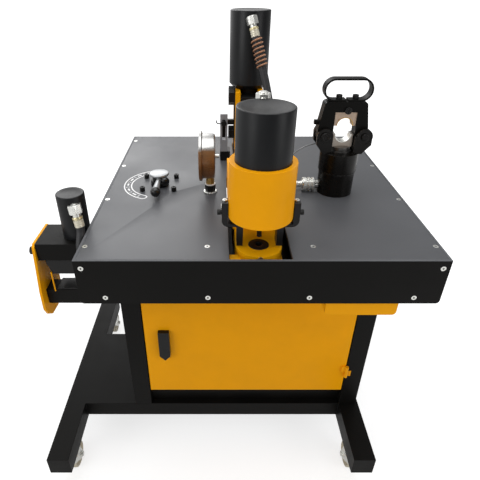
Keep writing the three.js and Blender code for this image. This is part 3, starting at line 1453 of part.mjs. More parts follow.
function buildGuard() {
  const a = new THREE.Vector3(...shearHosePoints[0]);
  const b = new THREE.Vector3(...shearHosePoints[2]);
  const way = b.clone().sub(a).normalize();
  const side = new THREE.Vector3(0, 0, 1).cross(way).normalize();
  const other = way.clone().cross(side);
  const centres = [];
  const count = guardTurns * guardSteps;
  for (let i = 0; i <= count; i++) {
    const turn = (i / guardSteps) * Math.PI * 2;
    centres.push(a.clone()
      .addScaledVector(way, guardStart + (i / guardSteps) * guardPitch)
      .addScaledVector(side, guardCoilRadius * Math.cos(turn))
      .addScaledVector(other, guardCoilRadius * Math.sin(turn)));
  }
  // Straight ends, one wire diameter long
  const lead = guardWireRadius * 2;
  const last = centres.length - 1;
  const startWay = centres[0].clone().sub(centres[1]).normalize();
  const endWay = centres[last].clone().sub(centres[last - 1]).normalize();
  centres.unshift(centres[0].clone().addScaledVector(startWay, lead));
  centres.push(centres[centres.length - 1].clone().addScaledVector(endWay, lead));

  const positions = [];
  const triangles = [];
  centres.forEach((centre, k) => {
    const before = centres[Math.max(k - 1, 0)];
    const after = centres[Math.min(k + 1, centres.length - 1)];
    const tangent = after.clone().sub(before).normalize();
    const outward = centre.clone().sub(a);
    outward.addScaledVector(way, -outward.dot(way)).normalize();
    outward.addScaledVector(tangent, -outward.dot(tangent)).normalize();
    const across = tangent.clone().cross(outward);
    for (let s = 0; s < guardSides; s++) {
      const angle = (s / guardSides) * Math.PI * 2;
      const point = centre.clone()
        .addScaledVector(outward, guardWireRadius * Math.cos(angle))
        .addScaledVector(across, guardWireRadius * Math.sin(angle));
      positions.push(point.x, point.y, point.z);
    }
  });
  for (let k = 0; k + 1 < centres.length; k++) {
    for (let s = 0; s < guardSides; s++) {
      const next = (s + 1) % guardSides;
      const [p, q] = [k * guardSides + s, k * guardSides + next];
      const [u, v] = [p + guardSides, q + guardSides];
      triangles.push(p, q, u, q, v, u);
    }
  }
  const end = (centres.length - 1) * guardSides;
  for (let s = 1; s + 1 < guardSides; s++) {
    triangles.push(0, s + 1, s);
    triangles.push(end, end + s, end + s + 1);
  }
  const geometry = new THREE.BufferGeometry();
  geometry.setAttribute('position', new THREE.Float32BufferAttribute(positions, 3));
  geometry.setIndex(triangles);

  // Least gap of the wire to itself, measured between centres at least half a turn apart
  let least = Infinity;
  for (let i = 0; i < centres.length; i++) {
    for (let j = i + guardSteps / 2; j < centres.length; j++) {
      least = Math.min(least, centres[i].distanceTo(centres[j]) - guardWireRadius * 2);
    }
  }
  console.log(`hose guard: least gap to itself ${least.toFixed(2)} mm`);
  const mesh = new THREE.Mesh(geometry, springBrown);
  mesh.name = 'hose_guard';
  geometry.computeVertexNormals();
  machine.add(mesh);
}

function buildHoses() {
  const hoses = [
    ['shear_hose', shearHosePoints, shearHoseRadius, hoseSides, rubber],
    ['punch_hose', punchHosePoints, punchHoseRadius, hoseSides, rubber],
    ['bend_hose', bendHosePoints, bendHoseRadius, hoseSides, rubber],
    ['crimp_hose', crimpHosePoints, crimpHoseRadius, hoseSides, rubber],
    ['safety_wire', safetyWirePoints, wireRadius, wireSides, toolSteel],
  ];
  const wireStep = 6;
  for (const [name, points, radius, sides, material] of hoses) {
    const { solid, length } = tube(points, radius, sides, Math.max(radius * 2, wireStep));
    console.log(`${name}: ${length.toFixed(0)} mm`);
    addMesh(machine, name, solid, material);
  }
  buildGuard();
}

buildBase();
for (const [side, x] of [['left', footLeftX], ['right', footRightX]]) {
  buildCaster(`front_${side}_caster`, x, casterRows[0], true);
  buildCaster(`rear_${side}_caster`, x, casterRows[1], false);
}
buildUprights();
buildTable();
buildTray();
buildCabinet();
buildValve();
buildGauge();
buildPunch();
buildShear();
buildBend();
buildCrimp();
buildHoses();

export default machine;
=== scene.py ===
import math

import bmesh
import bpy
from mathutils import Matrix, Vector


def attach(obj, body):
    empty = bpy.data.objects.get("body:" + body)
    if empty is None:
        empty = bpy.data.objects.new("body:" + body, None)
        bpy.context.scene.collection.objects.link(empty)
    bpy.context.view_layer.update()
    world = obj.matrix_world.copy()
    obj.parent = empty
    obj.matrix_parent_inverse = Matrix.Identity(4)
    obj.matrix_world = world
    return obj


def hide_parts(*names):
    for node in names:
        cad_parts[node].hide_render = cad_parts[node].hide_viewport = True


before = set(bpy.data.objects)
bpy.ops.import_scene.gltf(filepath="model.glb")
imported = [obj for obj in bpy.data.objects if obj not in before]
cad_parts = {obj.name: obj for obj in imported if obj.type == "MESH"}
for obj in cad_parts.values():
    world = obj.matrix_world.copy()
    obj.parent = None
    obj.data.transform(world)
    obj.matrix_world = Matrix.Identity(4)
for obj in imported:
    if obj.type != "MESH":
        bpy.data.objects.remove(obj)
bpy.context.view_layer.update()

# Millimetres with x counted from the middle of the table become metres of the row frame
MM = 0.001
TABLE_X = 93.0
TOP = 820.0
HALF_TABLE = 370.0
TAU = math.tau
SHARP_ANGLE = math.radians(32)
UP, DOWN = (0, 0, 1), (0, 0, -1)
RIGHT, LEFT = (1, 0, 0), (-1, 0, 0)
TO_REAR, TO_FRONT = (0, 1, 0), (0, -1, 0)


def place(x, y, z):
    return Vector((x + TABLE_X, y, z)) * MM


def add_object(name, data):
    obj = bpy.data.objects.new(name, data)
    bpy.context.scene.collection.objects.link(obj)
    return obj


# Camera
CAMERA_DIP = 31.467
camera_data = bpy.data.cameras.new("view")
camera_data.sensor_width = 36.0
camera_data.lens = 32.585
camera_data.shift_x = 0.04527
camera_data.shift_y = -0.00781
camera_data.clip_start = 0.05
camera_data.clip_end = 60.0
camera = add_object("view", camera_data)
camera.location = place(-85.77, -1063.12, 1300.21)
camera.rotation_euler = (math.radians(90 - CAMERA_DIP), 0.0, 0.0)
bpy.context.scene.camera = camera


# Node helpers
class Nodes:
    def __init__(self, tree):
        self.tree = tree
        self.tree.nodes.clear()

    def add(self, kind, inputs=None, **settings):
        node = self.tree.nodes.new(f"ShaderNode{kind}")
        for name, value in settings.items():
            setattr(node, name, value)
        for name, value in (inputs or {}).items():
            self.feed(node.inputs[name], value)
        return node

    def feed(self, socket, value):
        if isinstance(value, bpy.types.NodeSocket):
            self.tree.links.new(value, socket)
        else:
            socket.default_value = value

    def noise(self, where, scale, detail, rough):
        node = self.add(
            "TexNoise",
            {"Vector": where, "Scale": scale, "Detail": detail, "Roughness": rough},
        )
        return node.outputs["Fac"]

    def span(self, value, low, high, from_low=0.0, from_high=1.0):
        node = self.add(
            "MapRange",
            {"Value": value, "From Min": from_low, "From Max": from_high, "To Min": low, "To Max": high},
        )
        return node.outputs["Result"]

    def math(self, operation, a, b):
        node = self.add("Math", operation=operation)
        for socket, value in zip(node.inputs, (a, b)):
            self.feed(socket, value)
        return node.outputs["Value"]

    def mix(self, share, a, b):
        """Mixes two colours; a colour mix has its share at input 0 and its colours at 6 and 7."""
        node = self.add("Mix", data_type="RGBA")
        for index, value in zip((0, 6, 7), (share, a, b)):
            self.feed(node.inputs[index], value)
        return node.outputs[2]


def rgba(colour):
    return (*colour, 1.0)


def scaled(colour, share):
    return rgba([min(1.0, c * share) for c in colour])


# Amounts that all finishes share; a range is the part of a noise's or an edge's values that counts
NOISE_RANGE, SPECK_RANGE, SPECK_SHARE = (0.3, 0.7), (0.25, 0.75), 0.35
SPOT_WIDTH, SPOT_SHARE, SPOT_ROUGHNESS = 0.08, 0.6, 0.12
EDGE_RANGE, RUB_RANGE, RUB_SCALE = (0.9, 0.995), (0.45, 0.6), 160.0
BUMP_DEPTH, BEVEL_SAMPLES, COAT_ROUGHNESS = 0.0002, 4, 0.2


def surface(
    name,
    colour,
    rough,
    metal=0.0,
    specular=0.5,
    coat=0.0,
    vary=0.12,
    patch=14.0,
    grain=900.0,
    bump=0.05,
    rough_span=0.08,
    brushed=None,
    spots=None,
    wear=None,
    tint=None,
    rise=None,
    painted_shade_zone=None,
):
    """A procedural finish: patches of shade, grain, brush lines, dirt spots and worn edges.

    rise gives another colour and metal below a height, and the flank mask another colour to a block's
    flanks. The skirt and punch frame use rise for painted light, the gauge case uses it for a painted
    reflection, and the flank mask paints shade onto the punch frame's flanks.
    """
    material = bpy.data.materials.new(name)
    material.use_nodes = True
    nodes = Nodes(material.node_tree)
    where = nodes.add("TexCoord").outputs["Object"]
    fine_where = where
    if brushed:
        stretch = nodes.add("Mapping", {"Vector": where, "Scale": brushed})
        fine_where = stretch.outputs["Vector"]
    broad = nodes.noise(where, patch, 4.0, 0.6)
    fine = nodes.noise(fine_where, grain, 3.0, 0.6)
    shade = nodes.span(broad, 0.0, 1.0, *NOISE_RANGE)
    tone = nodes.mix(shade, scaled(colour, 1.0 - vary), scaled(colour, 1.0 + vary))
    speck = nodes.math("MULTIPLY", nodes.span(fine, 0.0, 1.0, *SPECK_RANGE), SPECK_SHARE)
    tone = nodes.mix(speck, tone, scaled(tint or colour, 1.0 + vary * 1.5))
    parts = nodes.add("SeparateXYZ", {"Vector": where}).outputs
    # Below a height another colour and metal; the skirt, punch frame and gauge case use this split for
    # painted light and a painted reflection
    if rise:
        low_colour, low, high, low_metal = rise
        tone = nodes.mix(nodes.span(parts["Z"], 1.0, 0.0, low, high), tone, rgba(low_colour))
        metal = nodes.span(parts["Z"], low_metal, metal, low, high)
    # Painted shade: the flanks of a block, behind from_y and below top, take a dark colour
    if painted_shade_zone:
        painted_shade_colour, middle, half_width, from_y, top = painted_shade_zone
        aside = nodes.math("ABSOLUTE", nodes.math("SUBTRACT", parts["X"], middle), 0.0)
        mask = nodes.math("GREATER_THAN", aside, half_width)
        mask = nodes.math("MULTIPLY", mask, nodes.math("GREATER_THAN", parts["Y"], from_y))
        mask = nodes.math("MULTIPLY", mask, nodes.math("LESS_THAN", parts["Z"], top))
        tone = nodes.mix(mask, tone, rgba(painted_shade_colour))
    roughness = nodes.span(broad, rough - rough_span, rough + rough_span, *NOISE_RANGE)
    fine_part = nodes.span(fine, -rough_span / 2, rough_span / 2, *NOISE_RANGE)
    roughness = nodes.math("ADD", roughness, fine_part)
    if spots:
        spot_colour, spot_scale, spot_edge = spots
        spotted = nodes.noise(where, spot_scale, 5.0, 0.65)
        mask = nodes.span(spotted, 0.0, 1.0, spot_edge, spot_edge + SPOT_WIDTH)
        tone = nodes.mix(nodes.math("MULTIPLY", mask, SPOT_SHARE), tone, rgba(spot_colour))
        roughness = nodes.math("ADD", roughness, nodes.math("MULTIPLY", mask, SPOT_ROUGHNESS))
    if wear:
        worn_colour, worn_width, worn_share = wear
        soft = nodes.add("Bevel", {"Radius": worn_width * MM}, samples=BEVEL_SAMPLES).outputs["Normal"]
        true_normal = nodes.add("NewGeometry").outputs["Normal"]
        facing = nodes.add("VectorMath", operation="DOT_PRODUCT")
        nodes.tree.links.new(soft, facing.inputs[0])
        nodes.tree.links.new(true_normal, facing.inputs[1])
        edge = nodes.span(facing.outputs["Value"], 1.0, 0.0, *EDGE_RANGE)
        rub = nodes.span(nodes.noise(where, RUB_SCALE, 4.0, 0.7), 0.0, 1.0, *RUB_RANGE)
        mask = nodes.math("MULTIPLY", nodes.math("MULTIPLY", edge, rub), worn_share)
        tone = nodes.mix(mask, tone, rgba(worn_colour))
    shader = nodes.add(
        "BsdfPrincipled",
        {
            "Base Color": tone,
            "Metallic": metal,
            "Roughness": roughness,
            "Specular IOR Level": specular,
            "Coat Weight": coat,
            "Coat Roughness": COAT_ROUGHNESS,
        },
    )
    height = nodes.add("Bump", {"Strength": bump, "Distance": BUMP_DEPTH, "Height": fine})
    nodes.tree.links.new(height.outputs["Normal"], shader.inputs["Normal"])
    output = nodes.add("OutputMaterial", {"Surface": shader.outputs["BSDF"]})
    output.is_active_output = True
    return material


STEEL_SHOWING = (0.32, 0.31, 0.3)
BLACK = (0.0048, 0.0045, 0.004)
YELLOW_COLOUR = (0.95, 0.4, 0.003)
YELLOW = dict(
    rough=0.36, specular=0.1, grain=1100.0, bump=0.2, patch=8.0, vary=0.05,
    wear=((0.55, 0.25, 0.01), 0.9, 0.5),
)
finish = {
    "black": surface(
        "black_powder", BLACK, 0.42, specular=0.09, grain=1500.0, bump=0.25,
        wear=((0.035, 0.034, 0.033), 1.2, 0.7), patch=9.0, vary=0.2,
    ),
    "black_wall": surface(
        "black_wall", (0.006, 0.0064, 0.0072), 0.36, specular=0.23, grain=1500.0, bump=0.2,
        wear=((0.06, 0.06, 0.06), 1.2, 0.6), patch=9.0, vary=0.2,
    ),
    # Skirts: black paint, with the top face above the rise painted grey like the table top, a painted
    # sheen
    "skirt": surface(
        "skirt_powder_painted_top_sheen", (0.12, 0.124, 0.132), 0.42, specular=0.09, grain=1500.0, bump=0.22, patch=9.0,
        rise=(BLACK, 0.8186, 0.819, 0.0),
    ),
    # Table top: dark paint given a grey base colour, a painted sheen standing for the bright room it
    # reflects
    "table": surface(
        "table_powder_painted_sheen", (0.082, 0.085, 0.092), 0.42, grain=1300.0, bump=0.22, patch=5.0, vary=0.07,
        wear=((0.24, 0.24, 0.25), 0.8, 0.5),
    ),
    "yellow": surface("yellow_enamel", YELLOW_COLOUR, **YELLOW),
    # Punch frame: yellow, with painted light making all below just under the table top a brighter yellow,
    # and painted shade turning its flanks in the table slot black
    "yellow_frame_painted_light_and_shade": surface(
        "yellow_frame_painted_light_and_shade", YELLOW_COLOUR, **YELLOW, rise=((1.0, 0.5, 0.004), 0.812, 0.822, 0.0),
        painted_shade_zone=(BLACK, 0.091, 0.0488, -0.298, 0.812),
    ),
    "motor": surface("motor_enamel", (0.16, 0.2, 0.25), 0.45, specular=0.45, bump=0.3),
    "black_steel": surface(
        "black_oxide", (0.009, 0.009, 0.009), 0.34, metal=0.2, specular=0.25, brushed=(1.0, 1.0, 8.0),
        grain=500.0, bump=0.15, vary=0.3, patch=40.0, wear=((0.14, 0.13, 0.12), 0.8, 0.8),
    ),
    "black_gloss": surface(
        "black_lacquer", (0.0042, 0.0036, 0.003), 0.27, specular=0.17, coat=0.06, grain=700.0,
        bump=0.06, vary=0.2, patch=30.0, rough_span=0.05, wear=((0.16, 0.15, 0.14), 0.9, 0.7),
    ),
    "grey_steel": surface(
        "worked_steel", (0.2, 0.2, 0.2), 0.4, metal=0.75, brushed=(1.0, 1.0, 0.08), grain=1200.0,
        bump=0.2, vary=0.2, patch=40.0, wear=(STEEL_SHOWING, 0.7, 0.6),
    ),
    "bright": surface(
        "bright_steel", (0.58, 0.57, 0.56), 0.3, metal=1.0, brushed=(1.0, 1.0, 0.06), grain=1500.0,
        bump=0.12, vary=0.1, patch=30.0,
    ),
    "strap": surface(
        "strap_steel", (0.3, 0.3, 0.31), 0.5, metal=0.4, brushed=(1.0, 1.0, 0.08), grain=1200.0,
        bump=0.2, patch=40.0, wear=(STEEL_SHOWING, 0.7, 0.6),
    ),
    "die": surface(
        "die_steel", (0.4, 0.35, 0.3), 0.34, metal=0.7, bump=0.15, patch=60.0,
        rise=((0.09, 0.088, 0.085), 0.9405, 0.9415, 0.8),
    ),
    "tan": surface(
        "tan_steel", (0.5, 0.38, 0.29), 0.42, metal=0.55, brushed=(0.1, 1.0, 1.0), bump=0.25, vary=0.18,
        patch=60.0, spots=((0.3, 0.2, 0.14), 90.0, 0.6),
    ),
    "zinc": surface(
        "zinc_plate", (0.72, 0.73, 0.72), 0.27, metal=0.85, grain=700.0, bump=0.1, vary=0.08,
        patch=90.0, tint=(0.8, 0.76, 0.6),
    ),
    "zinc_cream": surface(
        "cream_zinc_plate", (0.66, 0.62, 0.5), 0.36, metal=0.5, grain=700.0, bump=0.1, vary=0.1,
        patch=120.0,
    ),
    "zinc_yellow": surface(
        "yellow_zinc_plate", (0.7, 0.6, 0.32), 0.3, metal=0.8, grain=700.0, bump=0.1, vary=0.15,
        patch=120.0, tint=(0.75, 0.72, 0.6),
    ),
    "brass": surface("brass", (0.5, 0.31, 0.1), 0.33, metal=0.9, grain=800.0, bump=0.12, vary=0.2,
                     patch=120.0),
    "chrome": surface(
        "chrome", (0.82, 0.81, 0.8), 0.12, metal=1.0, grain=500.0, bump=0.03, rough_span=0.03,
        vary=0.03, patch=30.0,
    ),
    "satin": surface(
        "satin_chrome", (0.4, 0.41, 0.42), 0.33, metal=0.85, grain=500.0, rough_span=0.05, vary=0.06,
        patch=30.0,
    ),
    # Gauge case: brushed steel; the brown, less metallic lower part is a painted reflection of the yellow
    # punch sleeve
    "stainless_painted_reflection": surface(
        "stainless_painted_reflection", (0.45, 0.445, 0.435), 0.3, metal=1.0, brushed=(0.05, 1.0, 1.0), grain=1500.0,
        bump=0.06, vary=0.06, patch=25.0, rise=((0.2, 0.095, 0.035), 0.944, 0.95, 0.3),
    ),
    "nylon": surface(
        "cream_nylon", (0.62, 0.56, 0.43), 0.5, specular=0.4, grain=500.0, bump=0.15, vary=0.07,
        patch=60.0, spots=((0.3, 0.27, 0.22), 50.0, 0.62),
    ),
    "bakelite": surface("ball_black", (0.008, 0.008, 0.008), 0.24, grain=600.0, vary=0.2, patch=60.0),
    "dial_white": surface("dial_white", (0.82, 0.82, 0.8), 0.5, grain=600.0, vary=0.03),
    "print_white": surface("white_print", (0.85, 0.85, 0.85), 0.45, bump=0.1, vary=0.05, patch=60.0),
    "print_black": surface("black_print", (0.015, 0.015, 0.015), 0.5, bump=0.1, vary=0.1),
    "rubber": surface(
        "hose_rubber", (0.022, 0.022, 0.024), 0.5, specular=0.4, grain=1400.0, bump=0.35, vary=0.25,
        patch=30.0,
    ),
    "guard": surface(
        "guard_brown", (0.3, 0.125, 0.05), 0.34, grain=600.0, bump=0.1, vary=0.25, patch=60.0,
        tint=(0.5, 0.3, 0.2),
    ),
}


def glass_material(name, colour):
    material = bpy.data.materials.new(name)
    material.use_nodes = True
    nodes = Nodes(material.node_tree)
    where = nodes.add("TexCoord").outputs["Object"]
    haze = nodes.span(nodes.noise(where, 40.0, 4.0, 0.6), 0.02, 0.07, *NOISE_RANGE)
    shader = nodes.add(
        "BsdfPrincipled",
        {
            "Base Color": nodes.mix(haze, rgba(colour), scaled(colour, 0.9)),
            "Roughness": haze,
            "Transmission Weight": 1.0,
            "IOR": 1.45,
        },
    )
    nodes.add("OutputMaterial", {"Surface": shader.outputs["BSDF"]})
    return material


finish["glass"] = glass_material("gauge_glass", (0.97, 0.98, 0.98))


# Shape helpers
def hexagon(radius, limit=None):
    """The distance to a hexagon's outline at an angle, with its corners cut at limit."""

    def reach(angle):
        sector = math.radians(60)
        across = radius * math.cos(sector / 2) / math.cos(angle % sector - sector / 2)
        return across if limit is None else min(across, limit)

    return reach


def ribbed(radius, depth, count):
    """The distance to an outline with count shallow grooves, at an angle."""
    return lambda angle: radius - depth * (0.5 - 0.5 * math.cos(angle * count))


def catmull(points, steps):
    """A centripetal curve through the points, as the CAD hoses have."""
    ends = [points[0] * 2 - points[1], *points, points[-1] * 2 - points[-2]]
    out = []
    for i in range(1, len(ends) - 2):
        p0, p1, p2, p3 = ends[i - 1 : i + 3]
        d0 = max((p1 - p0).length, 1e-9) ** 0.5
        d1 = max((p2 - p1).length, 1e-9) ** 0.5
        d2 = max((p3 - p2).length, 1e-9) ** 0.5
        t1 = ((p1 - p0) / d0 - (p2 - p0) / (d0 + d1) + (p2 - p1) / d1) * d1
        t2 = ((p2 - p1) / d1 - (p3 - p1) / (d1 + d2) + (p3 - p2) / d2) * d1
        for k in range(steps):
            t = k / steps
            a = 2 * t**3 - 3 * t**2 + 1
            b = t**3 - 2 * t**2 + t
            out.append(
                p1 * a + t1 * b + p2 * (3 * t**2 - 2 * t**3) + t2 * (t**3 - t**2)
            )
    out.append(points[-1].copy())
    return out


class Shape:
    """Collects the solids of one piece."""

    def __init__(self):
        self.solids = bmesh.new()

    def loft(self, rings, closed=False):
        """Joins rings of points in order, with caps, or the last ring to the first if closed."""
        made = [[self.solids.verts.new(p) for p in ring] for ring in rings]
        for a, b in zip(made, made[1:] + made[:1] if closed else made[1:]):
            if len(a) == 1 and len(b) == 1:
                continue
            count = max(len(a), len(b))
            for i in range(count):
                j = (i + 1) % count
                corners = [a[i % len(a)], a[j % len(a)], b[j % len(b)], b[i % len(b)]]
                face = list(dict.fromkeys(corners))
                if len(face) > 2:
                    self.solids.faces.new(face)
        for end in () if closed else (made[0][::-1], made[-1]):
            if len(end) > 2:
                self.solids.faces.new(end)

    def lathe(self, profile, origin, axis, sides):
        """Turns (radius, distance along the axis) pairs, in millimetres, round an axis from a point.

        A profile that ends on its first pair makes an open ring.
        """
        closed = profile[0] == profile[-1]
        if closed:
            profile = profile[:-1]
        way = Vector(axis).normalized()
        side = way.orthogonal().normalized()
        if abs(way.z) > 0.999:
            side = Vector(RIGHT)
        other = way.cross(side)
        rings = []
        for radius, along in profile:
            middle = origin + way * along * MM
            if not callable(radius) and radius < 1e-6:
                rings.append([middle])
                continue
            ring = []
            for i in range(sides):
                angle = TAU * i / sides
                r = radius(angle) if callable(radius) else radius
                around = side * math.cos(angle) + other * math.sin(angle)
                ring.append(middle + around * r * MM)
            rings.append(ring)
        self.loft(rings, closed)

    def prism(self, outline, origin, along_u, along_v, depth):
        """An outline of (u, v) pairs in millimetres, carried along u cross v."""
        u, v = Vector(along_u), Vector(along_v)
        w = u.cross(v)
        near = [origin + (u * a + v * b) * MM for a, b in outline]
        self.loft([near, [p + w * depth * MM for p in near]])

    def box(self, low, high):
        x0, y0, z0 = low
        x1, y1, z1 = high
        base = [(x0, y0), (x1, y0), (x1, y1), (x0, y1)]
        self.loft([[place(x, y, z) for x, y in base] for z in (z0, z1)])

    def tube(self, points, radius, sides):
        """A round bar along points in metres; radius in millimetres, or one for each point."""
        count = len(points)
        radii = radius if isinstance(radius, list) else [radius] * count
        tangents = []
        for i in range(count):
            ahead = points[min(i + 1, count - 1)]
            behind = points[max(i - 1, 0)]
            tangents.append((ahead - behind).normalized())
        side = tangents[0].orthogonal().normalized()
        rings = []
        for i, (p, t) in enumerate(zip(points, tangents)):
            side = (side - t * side.dot(t)).normalized()
            other = t.cross(side)
            ring = []
            for k in range(sides):
                angle = TAU * k / sides
                around = side * math.cos(angle) + other * math.sin(angle)
                ring.append(p + around * radii[i] * MM)
            rings.append(ring)
        self.loft(rings)

    def make(self, name, look, body="machine", bevel=0.4, segments=2, hides=()):
        bmesh.ops.recalc_face_normals(self.solids, faces=self.solids.faces[:])
        mesh = bpy.data.meshes.new(name)
        self.solids.to_mesh(mesh)
        self.solids.free()
        mesh.shade_smooth()
        mesh.set_sharp_from_angle(angle=SHARP_ANGLE)
        mesh.materials.append(finish[look])
        obj = add_object(name, mesh)
        if bevel:
            add_bevel(obj, bevel, segments)
        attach(obj, body)
        if hides:
            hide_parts(*hides)
        return obj


def add_bevel(obj, width, segments=2):
    bevel = obj.modifiers.new("edges", "BEVEL")
    bevel.width = width * MM
    bevel.segments = segments
    bevel.limit_method = "ANGLE"
    bevel.angle_limit = SHARP_ANGLE
    bevel.harden_normals = True
    bevel.use_clamp_overlap = True


# Cords: the routes of the four hoses and the safety wire, as in the CAD source
ROUTES = {
    "shear_hose": [
        (10.4, 155.3, 1154.8), (20, 144.6, 1119.7), (29.5, 133.9, 1084.7), (40.8, 121, 1042.5),
        (52, 99, 989), (59, 66, 933), (58, 35, 881), (50, 12, 840), (38, 2, 805),
        (18, 0, 770), (-14, 3, 744), (-52, 7, 735.5), (-100, 11, 735), (-140, 14, 735),
        (-176.5, 14, 735),
    ],
    "punch_hose": [
        (15.5, -206.8, 1067.8), (22.6, -194, 1059), (30, -178, 1042), (33, -162, 1015),
        (30, -146, 975), (22, -132, 930), (12, -120, 880), (4, -112, 835),
        (-6, -104, 795), (-26, -96, 763), (-56, -84, 744), (-92, -70, 736),
        (-126, -50, 735), (-152, -46, 735), (-176.5, -46, 735),
    ],
    "bend_hose": [
        (-380.3, -263.6, 835.6), (-379.6, -266.2, 824), (-380, -273.5, 811),
        (-380.8, -280.5, 800), (-381.2, -283.5, 788), (-381.5, -284.5, 766), (-381.4, -284.5, 742),
        (-381.2, -284.5, 720), (-375.5, -284.5, 695), (-361, -284.5, 674),
        (-341, -284.5, 662), (-318, -284.5, 658), (-295, -284, 663), (-274, -274, 674),
        (-260, -250, 687), (-252, -220, 702), (-245, -186, 716), (-241, -148, 728),
        (-239, -112, 735), (-239, -90, 735), (-239, -78.5, 735),
    ],
    "crimp_hose": [
        (109.5, -53, 838), (98, -53, 838), (80, -53, 836.5), (62, -52.5, 830),
        (46, -52, 817), (32, -51, 798), (16, -49, 776), (-6, -46, 757),
        (-36, -41, 743), (-74, -34, 736), (-112, -19, 735), (-142, -16, 735),
        (-176.5, -16, 735),
    ],
    "safety_wire": [
        (153, -33, 937), (146, -34, 936), (138, -36, 934.5), (128, -39, 932), (114, -43, 926),
        (101, -44, 916), (90, -43, 901), (82, -40, 883), (77, -36, 862),
        (75, -31, 842), (74.5, -28, 830), (74.5, -27, 820.6),
    ],
}
HOSE_RADIUS = {"shear_hose": 10.0, "punch_hose": 9.0, "bend_hose": 9.0, "crimp_hose": 7.0,
               "safety_wire": 1.2}
ROUTE_STEPS = 8


def build_cord(node):
    points = catmull([place(*p) for p in ROUTES[node]], ROUTE_STEPS)
    radius = HOSE_RADIUS[node]
    look, slot, sides = "rubber", "hose_rubber", 28
    if node == "safety_wire":
        look, slot, sides = "grey_steel", "bright_steel", 12
    shape = Shape()
    shape.tube(points, radius, sides)
    piece = shape.make(f"{node}_skin", look, bevel=0, hides=[node])


for node in ROUTES:
    build_cord(node)


# Fasteners
def cap_screw(shape, origin, axis, radius, height):
    """A socket head screw standing on a face, with a hexagon recess."""
    socket = hexagon(radius * 0.52)
    rim = radius * 0.93
    shape.lathe(
        [(0, -0.5), (radius, -0.5), (radius, height * 0.94), (rim, height), (socket, height),
         (socket, height * 0.45), (0, height * 0.42)],
        origin, axis, sides=36,
    )


def flat_screw(shape, origin, axis, radius):
    """A countersunk screw whose head stands 0.1 mm proud of the face."""
    socket = hexagon(radius * 0.4)
    shape.lathe(
        [(0, -2.0), (radius * 0.5, -2.0), (radius, -0.2), (radius, 0.05), (radius * 0.93, 0.1),
         (socket, 0.08), (socket, -1.2), (0, -1.4)],
        origin, axis, sides=36,
    )


def hex_nut(shape, origin, axis, radius, start, end):
    """A chamfered hexagon from start to end along the axis."""
    chamfer = radius * 0.1
    narrow = hexagon(radius, radius * 0.9)
    full = hexagon(radius)
    shape.lathe(
        [(0, start), (narrow, start), (full, start + chamfer), (full, end - chamfer),
         (narrow, end), (0, end)],
        origin, axis, sides=48,
    )


def port_fitting(name, hub, start, way):
    """From a cylinder's wall: neck, swivel nut, yellow ring and crimped ferrule down to the hose."""
    hub, start = place(*hub), place(*start)
    out = (start - hub).normalized()
    reach = (start - hub).length / MM
    neck = Shape()
    hex_nut(neck, start, out, radius=14.5, start=-16.0, end=-5.0)
    neck.lathe([(0, -reach + 4), (10.5, -reach + 4), (10.5, 3), (8, 8), (0, 9)], start, out, sides=40)
    hex_nut(neck, start, way, radius=15.2, start=-8.0, end=12.0)
    neck.lathe([(0, 11), (8.6, 11), (8.6, 21), (0, 21)], start, way, sides=40)
    neck.make(f"{name}_swivel_nut", "zinc", bevel=0.5)
    wide = HOSE_RADIUS[f"{name}_hose"] + 1.4
    ring = Shape()
    ring.lathe([(0, 19.0), (wide, 19.0), (wide + 0.5, 19.8), (wide + 0.5, 23.6), (wide, 24.4), (0, 24.4)],
               start, way, sides=48)
    ring.make(f"{name}_fitting_ring", "zinc_yellow", bevel=0.1, segments=1)
    ferrule = Shape()
    ferrule.lathe(
        [(0, 24), (wide - 1, 24), (wide - 1, 26), (wide, 26.6), (wide, 31), (wide - 0.6, 31.6),
         (wide, 32.2), (wide, 36), (wide - 0.6, 36.6), (wide, 37.2), (wide, 41), (wide - 0.7, 42),
         (wide - 1.4, 42), (0, 41.5)],
        start, way, sides=48,
    )
    ferrule.make(f"{name}_ferrule", "zinc_cream", bevel=0.15, segments=1)


def cylinder(name, node, x, y, bottom, top, radius, bore, cap, foot=0.0):
    """A hydraulic cylinder: outer wall, rounded top edge, a shallow lid joint and its bore."""
    shape = Shape()
    shape.lathe(
        [(0, top - cap), (bore, top - cap), (bore, bottom), (radius - foot - 1.5, bottom),
         (radius - foot, bottom + 1.0), (radius, bottom + foot + 1.5), (radius, top - 2.2),
         (radius - 0.6, top - 0.9), (radius - 2.0, top), (radius - 9, top),
         (radius - 10, top - 0.35), (0, top - 0.35)],
        place(x, y, 0), UP, sides=96,
    )
    shape.make(name, "black_wall", bevel=0, hides=[node])


# Punching station
PUNCH_X, PUNCH_Y = -2.0, -302.0
PUNCH_PORT_Z = 1088
PUNCH_PORT = (PUNCH_X, -238, PUNCH_PORT_Z)
cylinder("punch_cylinder_body", "punch_cylinder", PUNCH_X, PUNCH_Y, bottom=893.3, top=1100, radius=53.5,
         bore=30.5, cap=30)
port_fitting("punch", (PUNCH_X, -258, PUNCH_PORT_Z), PUNCH_PORT, (0.42, 0.75, -0.5))
plug = Shape()
hex_nut(plug, place(*PUNCH_PORT), UP, radius=14.5, start=-12, end=19)
plug.lathe([(0, 18), (8, 18), (8, 21), (7, 22), (0, 22)], place(*PUNCH_PORT), UP, sides=40)
plug.make("punch_port_plug", "zinc", bevel=0.5)

ram = Shape()
ram.lathe(
    [(0, 970), (28.5, 970), (30, 968.5), (30, 872), (28, 870), (13, 870), (13, 862), (11.5, 860),
     (6.4, 860), (5.3, 857), (5.3, 835.6), (4.9, 835), (0, 835)],
    place(PUNCH_X, PUNCH_Y, 0), UP, sides=72,
)
ram.make("punch_ram_body", "black_steel", "punch", hides=["punch_ram"])

